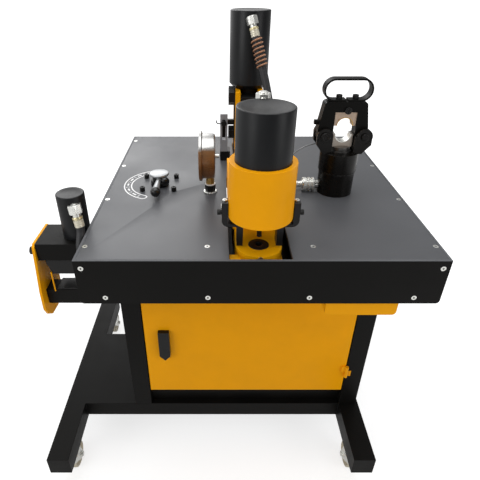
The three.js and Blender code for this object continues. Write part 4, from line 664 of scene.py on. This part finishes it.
die = Shape()
die.lathe(
    [(7.5, 815.3), (9.0, 815.9), (15, 815.3), (20.6, 815.3), (21.5, 814.4), (21.5, 794.2),
     (20.8, 793.4), (8.5, 793.4), (8.0, 800), (7.5, 810), (7.5, 815.3)],
    place(PUNCH_X, PUNCH_Y, 0), UP, sides=72,
)
die.make("punch_die_ring", "black_steel", bevel=0, hides=["punch_die"])

fixings = Shape()
hole = place(PUNCH_X, PUNCH_Y - 48, 809.6)
fixings.lathe(
    [(0, -6), (2.9, -6), (2.9, 0.2), (2.3, 0.4), (hexagon(1.6), 0.4), (hexagon(1.6), -2), (0, -2.2)],
    hole, TO_FRONT, sides=36,
)
cap_screw(fixings, place(PUNCH_X - 52, -230.5, 766), LEFT, radius=4.2, height=3.6)
fixings.make("punch_base_screws", "zinc", bevel=0.15)
ring = Shape()
ring.lathe([(3.0, -0.8), (5.8, -0.8), (5.8, 0.9), (5.2, 1.4), (3.9, 1.4), (3.0, 0.6), (3.0, -0.8)], hole,
           TO_FRONT, sides=48)
ring.make("set_screw_ring", "brass", bevel=0)

LUG_REACH = 77
thumbs = Shape()
glints = Shape()
for way in (-1, 1):
    lug = place(PUNCH_X + way * LUG_REACH, PUNCH_Y, 891)
    knurl = ribbed(5.7, 0.5, 18)
    thumbs.lathe(
        [(0, 0), (3.2, 0), (3.2, 2.0), (5.0, 2.2), (knurl, 2.6), (knurl, 8.6), (4.8, 9.2), (0, 9.2)],
        lug, (way, 0, 0), sides=72,
    )
    glints.lathe(
        [(0, 0), (5.0, 0), (5.0, 2.4), (4.2, 3.3), (hexagon(2.2), 3.4), (hexagon(2.2), 1.6), (0, 1.4)],
        place(PUNCH_X + way * 71, PUNCH_Y, 916), UP, sides=36,
    )
thumbs.make("stripper_thumb_screws", "black_steel", "stripper_yoke", bevel=0.15)
for way in (-1, 1):
    glints.lathe([(0, 0), (5.4, 0), (5.8, 0.5), (5.2, 1.3), (2.2, 1.5), (0, 1.5)],
                 place(PUNCH_X + way * LUG_REACH, PUNCH_Y, 903.5), (way, 0, 0), sides=40)
glints.make("stripper_lug_screws", "zinc", "stripper_yoke", bevel=0.15)

# Shearing station
SHEAR_Y = 225.0
SHEAR_PORT_Z = 1193
cylinder("shear_cylinder_body", "shear_cylinder", 0, SHEAR_Y, bottom=1017.0, top=1213, radius=54, bore=26,
         cap=30, foot=10.0)
port_fitting("shear", (0, SHEAR_Y - 44, SHEAR_PORT_Z), (0, SHEAR_Y - 58, SHEAR_PORT_Z),
             (0.25, -0.28, -0.92))

HOLD_X, HOLD_Z = -70.0, 935.0
wing = Shape()
back = place(HOLD_X, SHEAR_Y - 63, HOLD_Z)
wing.lathe([(0, 0), (3.7, 0), (3.7, 22), (0, 22)], back, TO_FRONT, sides=40)
hex_nut(wing, back, TO_FRONT, radius=8.2, start=20.7, end=28.0)
bar = [place(HOLD_X + a, SHEAR_Y - 89.4, HOLD_Z + b) for a, b in
       ((-4, 0), (-12, 0), (-17, 0.6), (-20.3, 3.0), (-21.2, 6.5), (-19.6, 9.0))]
wing.tube(catmull(bar, steps=6), radius=1.5, sides=14)
wing.make("clamp_wing_screw", "black_steel", "clamp_screw", bevel=0.2,
          hides=["hold_down_screw"])

bolts = Shape()
for z in (1000, 940, 880):
    for dy in (-20, 40):
        cap_screw(bolts, place(39, SHEAR_Y + dy, z), RIGHT, radius=7.0, height=6.0)
bolts.make("shear_bolts", "black_steel", bevel=0.25)

guard = Shape()
first, third = place(*ROUTES["shear_hose"][0]), place(*ROUTES["shear_hose"][2])
way = (third - first).normalized()
side = Vector(UP).cross(way).normalized()
other = way.cross(side)
GUARD_TURNS, GUARD_PITCH, GUARD_RADIUS, GUARD_STEPS, GUARD_START = 7, 10.4, 13.4, 40, 5
coil = []
for i in range(GUARD_TURNS * GUARD_STEPS + 1):
    turn = i / GUARD_STEPS
    around = side * math.cos(turn * TAU) + other * math.sin(turn * TAU)
    coil.append(first + way * (GUARD_START + turn * GUARD_PITCH) * MM + around * GUARD_RADIUS * MM)
guard.tube(coil, radius=2.2, sides=16)
guard.make("hose_guard_coil", "guard", bevel=0, hides=["hose_guard"])

# Bending station
BEND_X, BEND_Y = -401.5, -228.0
BEND_PORT_Z = 876
cylinder("bend_cylinder_body", "bend_cylinder", BEND_X, BEND_Y, bottom=795.3, top=898, radius=30,
         bore=15.5, cap=16)
port_fitting("bend", (BEND_X + 11, BEND_Y - 20.6, BEND_PORT_Z),
             (BEND_X + 15.5, BEND_Y - 29, BEND_PORT_Z), (0.14, -0.16, -0.977))
END_PLATE_FACE, END_PLATE_BACK = -490.3, -484.2
bolts = Shape()
for dy in (-34, 34):
    hex_nut(bolts, place(END_PLATE_FACE, BEND_Y + dy, 774), LEFT, radius=9.6, start=-0.5, end=9.0)
    hex_nut(bolts, place(END_PLATE_BACK, BEND_Y + dy, 620), LEFT, radius=7.5, start=5.6, end=10.5)
bolts.make("bend_plate_bolts", "black_steel")
strip = Shape()
outline = [(0, 0), (3, 0), (3, 52.5), (2.4, 53.6), (1.5, 54), (0.6, 53.6), (0, 52.5)]
strip.prism(outline, place(-463, -271.9, 668), RIGHT, UP, 1.6)
strip.make("bend_guide_strip", "yellow", bevel=0.2)

# Pressure gauge, facing left
GAUGE_X, GAUGE_Y, GAUGE_Z = -106.0, -60.0, 915.0
gauge_centre = place(0, GAUGE_Y, GAUGE_Z)
# The case's finish carries a painted reflection on its lower part
case = Shape()
case.lathe(
    [(0, -121.5), (52, -121.5), (52, -130.6), (53.2, -132), (58.6, -132), (60, -130.8), (60, -126),
     (58.8, -124.4), (55, -124), (54, -123.4), (54, -98.5), (53.2, -96), (51, -94.2), (47.5, -93.4),
     (12, -93), (0, -93)],
    gauge_centre, RIGHT, sides=96,
)
case.make("gauge_case", "stainless_painted_reflection", bevel=0, hides=["gauge_body"])
stub = Shape()
stub.lathe([(0, -94), (5, -94), (5, -84), (4.2, -83), (0, -83)], gauge_centre, RIGHT, sides=40)
stub.make("gauge_rear_stub", "zinc", bevel=0)
face = Shape()
face.lathe([(0, -122.0), (51.7, -122.0), (51.7, -121.6), (0, -121.6)], gauge_centre, RIGHT, sides=72)
face.make("gauge_dial", "dial_white", bevel=0)


def dial_way(share):
    """A direction on the dial: 0 at the lower left, 1 at the lower right, seen from the left."""
    angle = math.radians(-45 + 270 * share)
    return Vector((0, math.cos(angle), math.sin(angle)))


def bar_on(shape, middle, along, across, out, length, width, thick):
    corners = [(-1, -1), (1, -1), (1, 1), (-1, 1)]
    ring = [middle + (along * a * length / 2 + across * b * width / 2) * MM for a, b in corners]
    shape.loft([ring, [p + out * thick * MM for p in ring]])


def add_number(shape, text, middle, right, up, height, depth):
    curve = bpy.data.curves.new("number", "FONT")
    curve.body = text
    curve.size = height * MM
    curve.extrude = depth / 2 * MM
    curve.align_x = "CENTER"
    curve.align_y = "CENTER"
    curve.resolution_u = 4
    holder = add_object("number", curve)
    graph = bpy.context.evaluated_depsgraph_get()
    mesh = bpy.data.meshes.new_from_object(holder.evaluated_get(graph))
    turn = Matrix((right, up, right.cross(up))).transposed().to_4x4()
    mesh.transform(Matrix.Translation(middle) @ turn)
    shape.solids.from_mesh(mesh)
    bpy.data.objects.remove(holder)
    bpy.data.curves.remove(curve)
    bpy.data.meshes.remove(mesh)


MARK_COUNT, MARK_RADIUS, NUMBER_RADIUS, MARK_THICK = 60, 46.5, 34, 0.12
marks = Shape()
outward = Vector(LEFT)
dial_face = gauge_centre + Vector((-122.05, 0, 0)) * MM
for k in range(MARK_COUNT + 1):
    along = dial_way(k / MARK_COUNT)
    across = along.cross(outward)
    long_one = k % 10 == 0
    length = 6.0 if long_one else (4.2 if k % 5 == 0 else 2.8)
    middle = dial_face + along * (MARK_RADIUS - length / 2) * MM
    bar_on(marks, middle, along, across, outward, length, 1.0 if long_one else 0.5, MARK_THICK)
for k in range(7):
    middle = dial_face + dial_way(k / 6) * NUMBER_RADIUS * MM + outward * MARK_THICK / 2 * MM
    add_number(marks, str(k * 10), middle, Vector(TO_FRONT), Vector(UP), 7.5, MARK_THICK)
marks.make("gauge_marks", "print_black", bevel=0)

stem = Shape()
stem_foot = place(GAUGE_X, GAUGE_Y, TOP)
square = hexagon(11.2, 10.4)
stem.lathe([(0, 22), (10, 22), (10, 25), (square, 25.5), (square, 35), (9.2, 36), (9.2, 42.5), (0, 43)],
           stem_foot, UP, sides=48)
stem.make("gauge_stem", "brass", bevel=0.3)
seal = Shape()
seal.lathe([(0, 20.8), (12.6, 20.8), (13, 21.4), (13, 23), (12.4, 23.6), (0, 23.6)], stem_foot,
           UP, sides=48)
seal.make("gauge_seal_ring", "dial_white", bevel=0)
pipe = Shape()
hex_nut(pipe, stem_foot, UP, radius=13.5, start=4.0, end=21.0)
pipe.lathe([(0, -44), (8, -44), (8, 4.5), (0, 4.5)], stem_foot, UP, sides=40)
pipe.lathe([(0, 0), (4, 0), (4, 82.7), (0, 82.7)], place(GAUGE_X, GAUGE_Y, 784), LEFT, sides=24)
pipe.make("gauge_nut_and_pipe", "black_steel")
ring = Shape()
ring.lathe([(9, 0.3), (16.2, 0.3), (17, 1.1), (17, 2.6), (15.8, 3.9), (9, 4.0), (9, 0.3)], stem_foot,
           UP, sides=56)
ring.make("gauge_base_ring", "zinc", bevel=0)

# Selector valve
VALVE_X, VALVE_Y, VALVE_HALF, VALVE_PORT_Z = -239.0, -16.0, 50, 735
body = Shape()
body.box((VALVE_X - VALVE_HALF, VALVE_Y - VALVE_HALF, 700),
         (VALVE_X + VALVE_HALF, VALVE_Y + VALVE_HALF, 811.7))
body.lathe([(0, 805), (23, 805), (23, 832.5), (21.5, 834), (0, 834)], place(VALVE_X, VALVE_Y, 0),
           UP, sides=64)
for dx, dy, way in ((VALVE_HALF, -30, RIGHT), (VALVE_HALF, 0, RIGHT), (VALVE_HALF, 30, RIGHT),
                    (0, -VALVE_HALF, TO_FRONT)):
    hex_nut(body, place(VALVE_X + dx, VALVE_Y + dy, VALVE_PORT_Z), way, radius=12, start=-1, end=12)
body.make("valve_housing", "black_steel", bevel=0.8, hides=["valve_body"])
screws = Shape()
for dx in (-40, 40):
    for dy in (-40, 40):
        at_screw = place(VALVE_X + dx, VALVE_Y + dy, 820.3)
        screws.lathe([(0, -9), (4, -9), (4, 0), (0, 0)], at_screw, UP, sides=24)
        cap_screw(screws, at_screw, UP, radius=6.6, height=11.0)
screws.make("valve_cap_screws", "black_steel", bevel=0.25)
hub = Shape()
hub_foot = place(VALVE_X, VALVE_Y, 834.3)
hub.lathe(
    [(0, 0), (17, 0), (18, 0.8), (18, 3.0), (17.2, 3.6), (17.2, 9.0), (18, 9.6), (18, 12.2), (0, 12.2)],
    hub_foot, UP, sides=72,
)
hub.make("valve_hub", "black_steel", "valve_handle", bevel=0.2, hides=["valve_lever"])
cap = Shape()
cap.lathe(
    [(0, 11.8), (22, 11.8), (24.2, 12.4), (25, 13.8), (25, 16.4), (24.2, 18.2), (22.4, 19), (4, 19.3),
     (0, 19.3)],
    hub_foot, UP, sides=80,
)
arm = [(0, -14, 7), (0, -26, 6.6), (0, -44, 6), (0, -66, 6), (0, -80, 6)]
arm_points = catmull([hub_foot + Vector(p) * MM for p in arm], steps=6)
count = len(arm_points)
ARM_RADIUS, ARM_SWELL, ARM_POWER = 5.2, 4.4, 1.2
radii = [ARM_RADIUS + ARM_SWELL * (i / (count - 1)) ** ARM_POWER for i in range(count)]
cap.tube(arm_points, radii, sides=32)
cap.make("valve_cap_and_arm", "satin", "valve_handle", bevel=0.2)
boss = Shape()
boss.lathe(
    [(0, 8), (9.5, 8), (9.5, 16), (11.4, 17), (11.8, 18.4), (11.8, 27), (11, 30), (8.6, 32.4),
     (4.6, 33.8), (0, 34.2)],
    place(VALVE_X, VALVE_Y, 841), (0.62, -0.76, -0.18), sides=48,
)
boss.make("valve_stop_boss", "bakelite", "valve_handle", bevel=0)
KNOB_RADIUS, KNOB_STEPS = 12.5, 24
knob = Shape()
profile = [(0, -KNOB_RADIUS)]
for k in range(1, KNOB_STEPS):
    angle = -math.pi / 2 + math.pi * k / KNOB_STEPS
    profile.append((KNOB_RADIUS * math.cos(angle), KNOB_RADIUS * math.sin(angle)))
profile.append((0, KNOB_RADIUS))
knob.lathe(profile, place(VALVE_X, VALVE_Y - 89, 840.3), TO_FRONT, sides=48)
knob.make("valve_ball_knob", "bakelite", "valve_handle", bevel=0)

# The printed scale beside the valve: one closed line with round ends, numbers and bars inside it
scale_mid = place(VALVE_X, VALVE_Y, 820.02)
ARC_FROM, ARC_TO, ARC_OUTER, ARC_INNER, ARC_LINE = 100, 246, 92.0, 74.0, 1.6
ARC_MIDDLE = (ARC_OUTER + ARC_INNER) / 2
ARC_STEP, END_STEP, DIVISION, PRINT_THICK = 2, 15, 22, 0.18


def on_circle(middle, radius, degrees):
    angle = math.radians(degrees)
    return middle + Vector((math.cos(angle), math.sin(angle), 0)) * radius * MM


def scale_line(inset):
    outer, inner = ARC_OUTER - inset, ARC_INNER + inset
    half = (outer - inner) / 2
    line = [on_circle(scale_mid, outer, a) for a in range(ARC_FROM, ARC_TO + 1, ARC_STEP)]
    end = on_circle(scale_mid, ARC_MIDDLE, ARC_TO)
    line += [on_circle(end, half, ARC_TO + a) for a in range(END_STEP, 180, END_STEP)]
    line += [on_circle(scale_mid, inner, a) for a in range(ARC_TO, ARC_FROM - 1, -ARC_STEP)]
    end = on_circle(scale_mid, ARC_MIDDLE, ARC_FROM)
    line += [on_circle(end, half, ARC_FROM + 180 + a) for a in range(END_STEP, 180, END_STEP)]
    return line


scale = Shape()
edge_out, edge_in = scale_line(-ARC_LINE), scale_line(ARC_LINE)
lift = Vector(UP) * PRINT_THICK * MM
count = len(edge_out)
made = [[scale.solids.verts.new(p) for p in ring] for ring in
        (edge_out, [p + lift for p in edge_out], [p + lift for p in edge_in], edge_in)]
for k in range(count):
    following = (k + 1) % count
    for a, b in zip(made, made[1:] + made[:1]):
        scale.solids.faces.new([a[k], a[following], b[following], b[k]])
up = Vector(UP)
for k, degrees in enumerate(range(127, 240, DIVISION)):
    around = on_circle(Vector(), 1000, degrees).normalized()
    tangent = up.cross(around)
    middle = on_circle(scale_mid, ARC_MIDDLE, degrees) + lift / 2
    add_number(scale, str(k), middle, -tangent, around, 12.5, PRINT_THICK)
for degrees in range(116, 240, DIVISION):
    around = on_circle(Vector(), 1000, degrees).normalized()
    middle = on_circle(scale_mid, ARC_MIDDLE, degrees)
    bar_on(scale, middle, up.cross(around), around, up, 13.0, 4.2, PRINT_THICK)
scale.make("valve_scale_print", "print_white", bevel=0)

# Crimping head
CRIMP_X, CRIMP_Y = 208.5, -53.0
quick = Shape()
coupler = place(CRIMP_X - 43.5, CRIMP_Y, 838)
hex_nut(quick, coupler, LEFT, radius=12.6, start=-1.0, end=40.4)
quick.lathe([(0, 39), (8.2, 39), (8.2, 43), (7.3, 44), (7.3, 50), (8.4, 51), (8.4, 54.5), (0, 55.2)],
            coupler, LEFT, sides=40)
quick.make("quick_coupler_half", "zinc")
collar = Shape()
collar.lathe(
    [(12.8, 8.8), (15.8, 8.8), (17, 10), (17, 14.4), (15.8, 15.6), (14, 16), (14, 18.2), (15.8, 18.6),
     (17, 19.8), (17, 24.2), (15.8, 25.4), (14, 25.8), (14, 28), (15.8, 28.4), (17, 29.6), (17, 36.6),
     (15.6, 38.8), (12.8, 38.8), (12.8, 8.8)],
    coupler, LEFT, sides=72,
)
collar.make("coupler_sleeve", "zinc", "collar", bevel=0, hides=["coupler_collar"])
EAR_LEFT, EAR_RIGHT, EAR_Z = CRIMP_X - 44.5, CRIMP_X + 47.5, 968.0
pin = Shape()
pin.lathe(
    [(0, -30.5), (8, -30.5), (8, 25.8), (10, 26.0), (11, 26.8), (11, 29.6), (10, 31), (6.4, 31),
     (5.6, 28.6), (0, 28.4)],
    place(EAR_LEFT, CRIMP_Y, EAR_Z), TO_FRONT, sides=56,
)
pin.make("latch_pin_body", "black_gloss", "yoke_pin", bevel=0.25, hides=["latch_pin"])
heads = Shape()
for way in (-1, 1):
    heads.lathe(
        [(0, 24), (8.6, 24), (8.6, 29.4), (7.4, 30.8), (3, 31.2), (0, 31.2)],
        place(EAR_RIGHT, CRIMP_Y, EAR_Z), (0, way, 0), sides=48,
    )
    heads.lathe(
        [(16.5, 25.2), (17.5, 25.2), (17.9, 26.3), (17.0, 26.7), (16.0, 26.3), (16.5, 25.2)],
        place(EAR_RIGHT, CRIMP_Y, EAR_Z), (0, way, 0), sides=64,
    )
heads.make("yoke_pin_heads", "black_gloss", bevel=0.3)
screws = Shape()
cap_screw(screws, place(211, CRIMP_Y - 15, 1027), TO_FRONT, radius=8.0, height=4.0)
for x in (189.8, 227.2):
    cap_screw(screws, place(x, CRIMP_Y, 1050.8), UP, radius=7.0, height=9.0)
screws.make("crimp_head_screws", "black_steel", "yoke", bevel=0.3)

LINER_OUTER, LINER_INNER, LINER_DEPTH, LINER_BACK = 19.7, 17.9, 24.9, 12.3


def die_liner(name, look, body, level, start):
    """A thin half ring in a die's groove, from the rear face to just proud of the front face."""
    liner = Shape()
    turns = [math.radians(start + degrees) for degrees in range(0, 181, 6)]
    outline = [(LINER_OUTER * math.cos(a), LINER_OUTER * math.sin(a)) for a in turns]
    outline += [(LINER_INNER * math.cos(a), LINER_INNER * math.sin(a)) for a in reversed(turns)]
    liner.prism(outline, place(CRIMP_X, CRIMP_Y + LINER_BACK, level), RIGHT, UP, LINER_DEPTH)
    liner.make(name, look, body, bevel=0)


die_liner("lower_die_liner", "zinc", "crimp_ram", 971, 180)
die_liner("upper_die_liner", "brass", "yoke", 991.2, 0)
ring = Shape()
ring.lathe(
    [(43.6, 876.5), (44.9, 877), (44.9, 879.5), (43.6, 880), (43.6, 876.5)],
    place(CRIMP_X, CRIMP_Y, 0), UP, sides=96,
)
ring.make("crimp_base_ring", "black_steel", bevel=0)
EYE_X, EYE_Y, EYE_Z, EYE_RADIUS, EYE_LEAN, EYE_STEPS = 74.5, -25, 824.6, 3.4, 0.2, 24
eye = Shape()
loop = []
for k in range(EYE_STEPS + 1):
    across = EYE_RADIUS * math.cos(TAU * k / EYE_STEPS)
    rise = EYE_RADIUS * math.sin(TAU * k / EYE_STEPS)
    loop.append(place(EYE_X + across, EYE_Y - rise * EYE_LEAN, EYE_Z + rise))
eye.tube(loop, radius=0.9, sides=10)
eye.lathe([(0, 0.2), (5, 0.2), (5.4, 0.8), (4.8, 1.6), (0, 1.9)], place(EYE_X, EYE_Y, TOP), UP, sides=32)
eye.make("wire_anchor", "bright", bevel=0)

# Screws in the table and its skirts
TABLE_SCREW, SKIRT_SCREW = 5.6, 5.4
SCREW_FRONT, SCREW_REAR, SKIRT_LOW, SKIRT_HIGH = -318, 325, 728, 801
screws = Shape()
for x in (-358, 358):
    for y in (SCREW_FRONT, -104, 111, SCREW_REAR):
        flat_screw(screws, place(x, y, TOP), UP, TABLE_SCREW)
for x in (-108, 108):
    for y in (SCREW_FRONT, SCREW_REAR):
        flat_screw(screws, place(x, y, TOP), UP, TABLE_SCREW)
skirt_places = [(x, SKIRT_LOW) for x in (-317, -107, 101, 315)] + [(x, SKIRT_HIGH) for x in (-356, 356)]
for x, z in skirt_places:
    flat_screw(screws, place(x, -HALF_TABLE, z), TO_FRONT, SKIRT_SCREW)
    flat_screw(screws, place(-x, HALF_TABLE, z), TO_REAR, SKIRT_SCREW)
for y in (-300, -100, 100, 300):
    for way in (-1, 1):
        beside_bending_unit = way < 0 and y < -150
        if not beside_bending_unit:
            flat_screw(screws, place(way * HALF_TABLE, y, SKIRT_LOW), (way, 0, 0), SKIRT_SCREW)
screws.make("table_screws", "zinc", bevel=0)

# Casters
CASTER_ROWS = {"front": -310.0, "rear": 270.0}
CASTER_COLUMNS = {"left": -526.0, "right": 316.0}
CASTER_TRAIL, AXLE_Z, PLATE_BOTTOM = 35, 37.76, 93.6
for row, y in CASTER_ROWS.items():
    for column, x in CASTER_COLUMNS.items():
        name = f"{row}_{column}"
        wheel = Shape()
        axle = place(x, y + CASTER_TRAIL, AXLE_Z)
        half = [(5.6, 12.6), (9.5, 12.6), (10.2, 14.6), (12.4, 14.8), (13.6, 11.4), (26.5, 10.6),
                (29.5, 13.2), (31.6, 15.4), (35.4, 15.8), (37.2, 14.2), (37.75, 11.0)]
        profile = [(r, -a) for r, a in half] + [(r, a) for r, a in reversed(half)]
        wheel.lathe(profile + [profile[0]], axle, RIGHT, sides=84)
        wheel.make(f"{name}_tyre", "nylon", f"{name}_wheel", bevel=0,
                   hides=[f"{name}_caster_wheel"])
        hub = Shape()
        for way in (-1, 1):
            hub.lathe([(5.6, 12.0), (9.2, 12.0), (9.2, 13.4), (8.4, 14.0), (5.6, 14.0), (5.6, 12.0)],
                      axle, (way, 0, 0), sides=40)
        hub.make(f"{name}_bearing", "bright", f"{name}_wheel", bevel=0)
        race = Shape()
        race.lathe(
            [(24, 84.4), (27.5, 84.4), (28.3, 85.4), (28.3, 87.6), (27.5, 88.4), (27.5, 90),
             (28.3, 90.6), (28.3, 92.2), (27.6, 92.9), (24, 92.9), (24, 84.4)],
            place(x, y, 0), UP, sides=64,
        )
        hex_nut(race, place(x, y, 0), UP, radius=8.5, start=74.6, end=81.0)
        race.make(f"{name}_race", "zinc", f"{name}_fork", bevel=0.2)
        plate = Shape()
        for dx in (-20, 20):
            for dy in (-38, 38):
                hex_nut(plate, place(x + dx, y + dy, PLATE_BOTTOM), DOWN, radius=6.0, start=-0.4, end=4.0)
        plate.make(f"{name}_plate_bolts", "zinc", bevel=0.2)

# CAD nodes that stay get a finish and softened edges, whose width is in millimetres
WELD_DISTANCE = 0.01
KEPT = {
    "base_frame": ("black", 3.0),
    "upright_frame": ("black", 2.5),
    # table_top and the skirts carry a painted sheen on their top faces
    "table_top": ("table", 0.5),
    "front_skirt": ("skirt", 0.8),
    "side_skirt": ("skirt", 0.8),
    "die_tray": ("yellow", 0.9),
    "cabinet_shell": ("black", 0.7),
    "door": ("yellow", 1.2),
    "hinge_lower": ("yellow", 0.5),
    "hinge_upper": ("yellow", 0.5),
    "door_latch": ("black_steel", 1.5),
    "oil_tank": ("black", 4.0),
    "pump_motor": ("motor", 2.0),
    "pump_block": ("grey_steel", 1.5),
    "gauge_pointer": ("print_black", 0.2),
    "gauge_lens": ("glass", 0.2),
    # punch_frame carries painted light below the table top and painted shade on its flanks
    "punch_frame": ("yellow_frame_painted_light_and_shade", 1.5),
    "stripper": ("black_steel", 1.2),
    "shear_frame": ("yellow", 1.5),
    "shear_ram": ("black_steel", 1.0),
    "lower_blade": ("bright", 0.6),
    "hold_down_bracket": ("black_steel", 0.7),
    "hold_down_bar": ("strap", 0.7),
    "bend_box": ("black", 1.0),
    "bend_end_plate": ("yellow", 0.9),
    "bend_beam": ("black", 1.5),
    "bend_ram": ("black_steel", 1.0),
    "bend_lower_jaw": ("black_steel", 1.0),
    "crimp_cylinder": ("black_gloss", 1.0),
    "crimp_piston": ("die", 0.6),
    "crimp_yoke": ("black", 2.0),
    "crimp_upper_die": ("tan", 0.6),
    "carrying_handle": ("black", 1.2),
}
for side in ("front_left", "front_right", "rear_left", "rear_right"):
    KEPT[f"{side}_caster_fork"] = ("zinc", 0.7)
for side in ("front_left", "front_right"):
    KEPT[f"{side}_caster_brake_pedal"] = ("black_steel", 0.8)


def dress(node, look, width):
    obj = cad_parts[node]
    mesh = obj.data
    if "custom_normal" in mesh.attributes:
        mesh.attributes.remove(mesh.attributes["custom_normal"])
    mesh.shade_smooth()
    mesh.materials.clear()
    mesh.materials.append(finish[look])
    weld = obj.modifiers.new("weld", "WELD")
    weld.merge_threshold = WELD_DISTANCE * MM
    add_bevel(obj, width)


for node, (look, width) in KEPT.items():
    dress(node, look, width)

# Floor, world and lamps
FLOOR_REACH = 30.0
floor_shape = bmesh.new()
floor_corners = [(x * FLOOR_REACH, y * FLOOR_REACH, 0) for x, y in ((-1, -1), (1, -1), (1, 1), (-1, 1))]
floor_shape.faces.new([floor_shape.verts.new(corner) for corner in floor_corners])
floor_mesh = bpy.data.meshes.new("floor")
floor_shape.to_mesh(floor_mesh)
floor_shape.free()
floor = add_object("floor", floor_mesh)

WHITE = (1.0, 1.0, 1.0, 1.0)
MIRRORED_FLOOR, AMBIENT = 0.5, 0.5
floor_material = bpy.data.materials.new("studio_floor")
floor_material.use_nodes = True
nodes = Nodes(floor_material.node_tree)
rays = nodes.add("LightPath").outputs
seen = nodes.math("MAXIMUM", rays["Is Camera Ray"], rays["Is Transmission Ray"])
seen = nodes.math("MAXIMUM", seen, nodes.math("MULTIPLY", rays["Is Glossy Ray"], MIRRORED_FLOOR))
floor_way = nodes.add("TexCoord").outputs["Object"]
away = nodes.add("VectorMath", {0: floor_way}, operation="LENGTH").outputs["Value"]
strength = nodes.span(away, low=0.68, high=1.0, from_low=0.75, from_high=1.6)
glow = nodes.add("Emission", {"Color": WHITE, "Strength": nodes.math("MULTIPLY", seen, strength)})
flat = nodes.add("BsdfDiffuse", {"Color": (0.5, 0.5, 0.5, 1.0)})
both = nodes.add("AddShader")
nodes.tree.links.new(glow.outputs[0], both.inputs[0])
nodes.tree.links.new(flat.outputs[0], both.inputs[1])
nodes.add("OutputMaterial", {"Surface": both.outputs[0]})
floor_mesh.materials.append(floor_material)

world = bpy.data.worlds.new("studio")
bpy.context.scene.world = world
world.use_nodes = True
nodes = Nodes(world.node_tree)
rays = nodes.add("LightPath").outputs
seen = nodes.math("MAXIMUM", rays["Is Camera Ray"], rays["Is Transmission Ray"])
direction = nodes.add(
    "SeparateXYZ", {"Vector": nodes.add("TexCoord").outputs["Generated"]}
).outputs
behind = nodes.span(direction["Y"], low=0.3, high=1.0, from_low=-0.5, from_high=0.45)
above = nodes.span(direction["Z"], low=0.0, high=0.35)
sideways = nodes.span(direction["X"], low=1.3, high=0.3, from_low=-0.2, from_high=0.3)
mirrored = nodes.math("MULTIPLY", nodes.math("ADD", behind, above), sideways)
glossy = nodes.math("MULTIPLY", rays["Is Glossy Ray"], mirrored)
ambient_level = nodes.math("SUBTRACT", 1.0, nodes.math("MAXIMUM", seen, rays["Is Glossy Ray"]))
level = nodes.math("ADD", nodes.math("MULTIPLY", ambient_level, AMBIENT), nodes.math("ADD", seen, glossy))
sky = nodes.add("Background", {"Color": WHITE, "Strength": level})
nodes.add("OutputWorld", {"Surface": sky.outputs[0]})


def lamp(name, where, target, size, power):
    data = bpy.data.lights.new(name, "AREA")
    data.shape = "RECTANGLE"
    data.size, data.size_y = size
    data.energy = power
    obj = add_object(name, data)
    obj.location = where
    obj.rotation_euler = (Vector(target) - Vector(where)).to_track_quat("-Z", "Y").to_euler()


lamp("overhead", (0.1, -0.1, 3.4), (0.05, 0.0, 0.6), size=(2.6, 2.2), power=44)
lamp("left_front", (-2.6, -2.2, 1.9), (0.0, -0.1, 0.7), size=(1.6, 2.0), power=30)
lamp("right_front", (2.8, -2.0, 1.8), (0.0, -0.1, 0.7), size=(1.6, 2.0), power=24)
lamp("rear_soft", (-0.7, 2.8, 2.3), (0.0, 0.0, 0.7), size=(1.8, 1.4), power=15)

bpy.context.scene.view_settings.view_transform = "Standard"
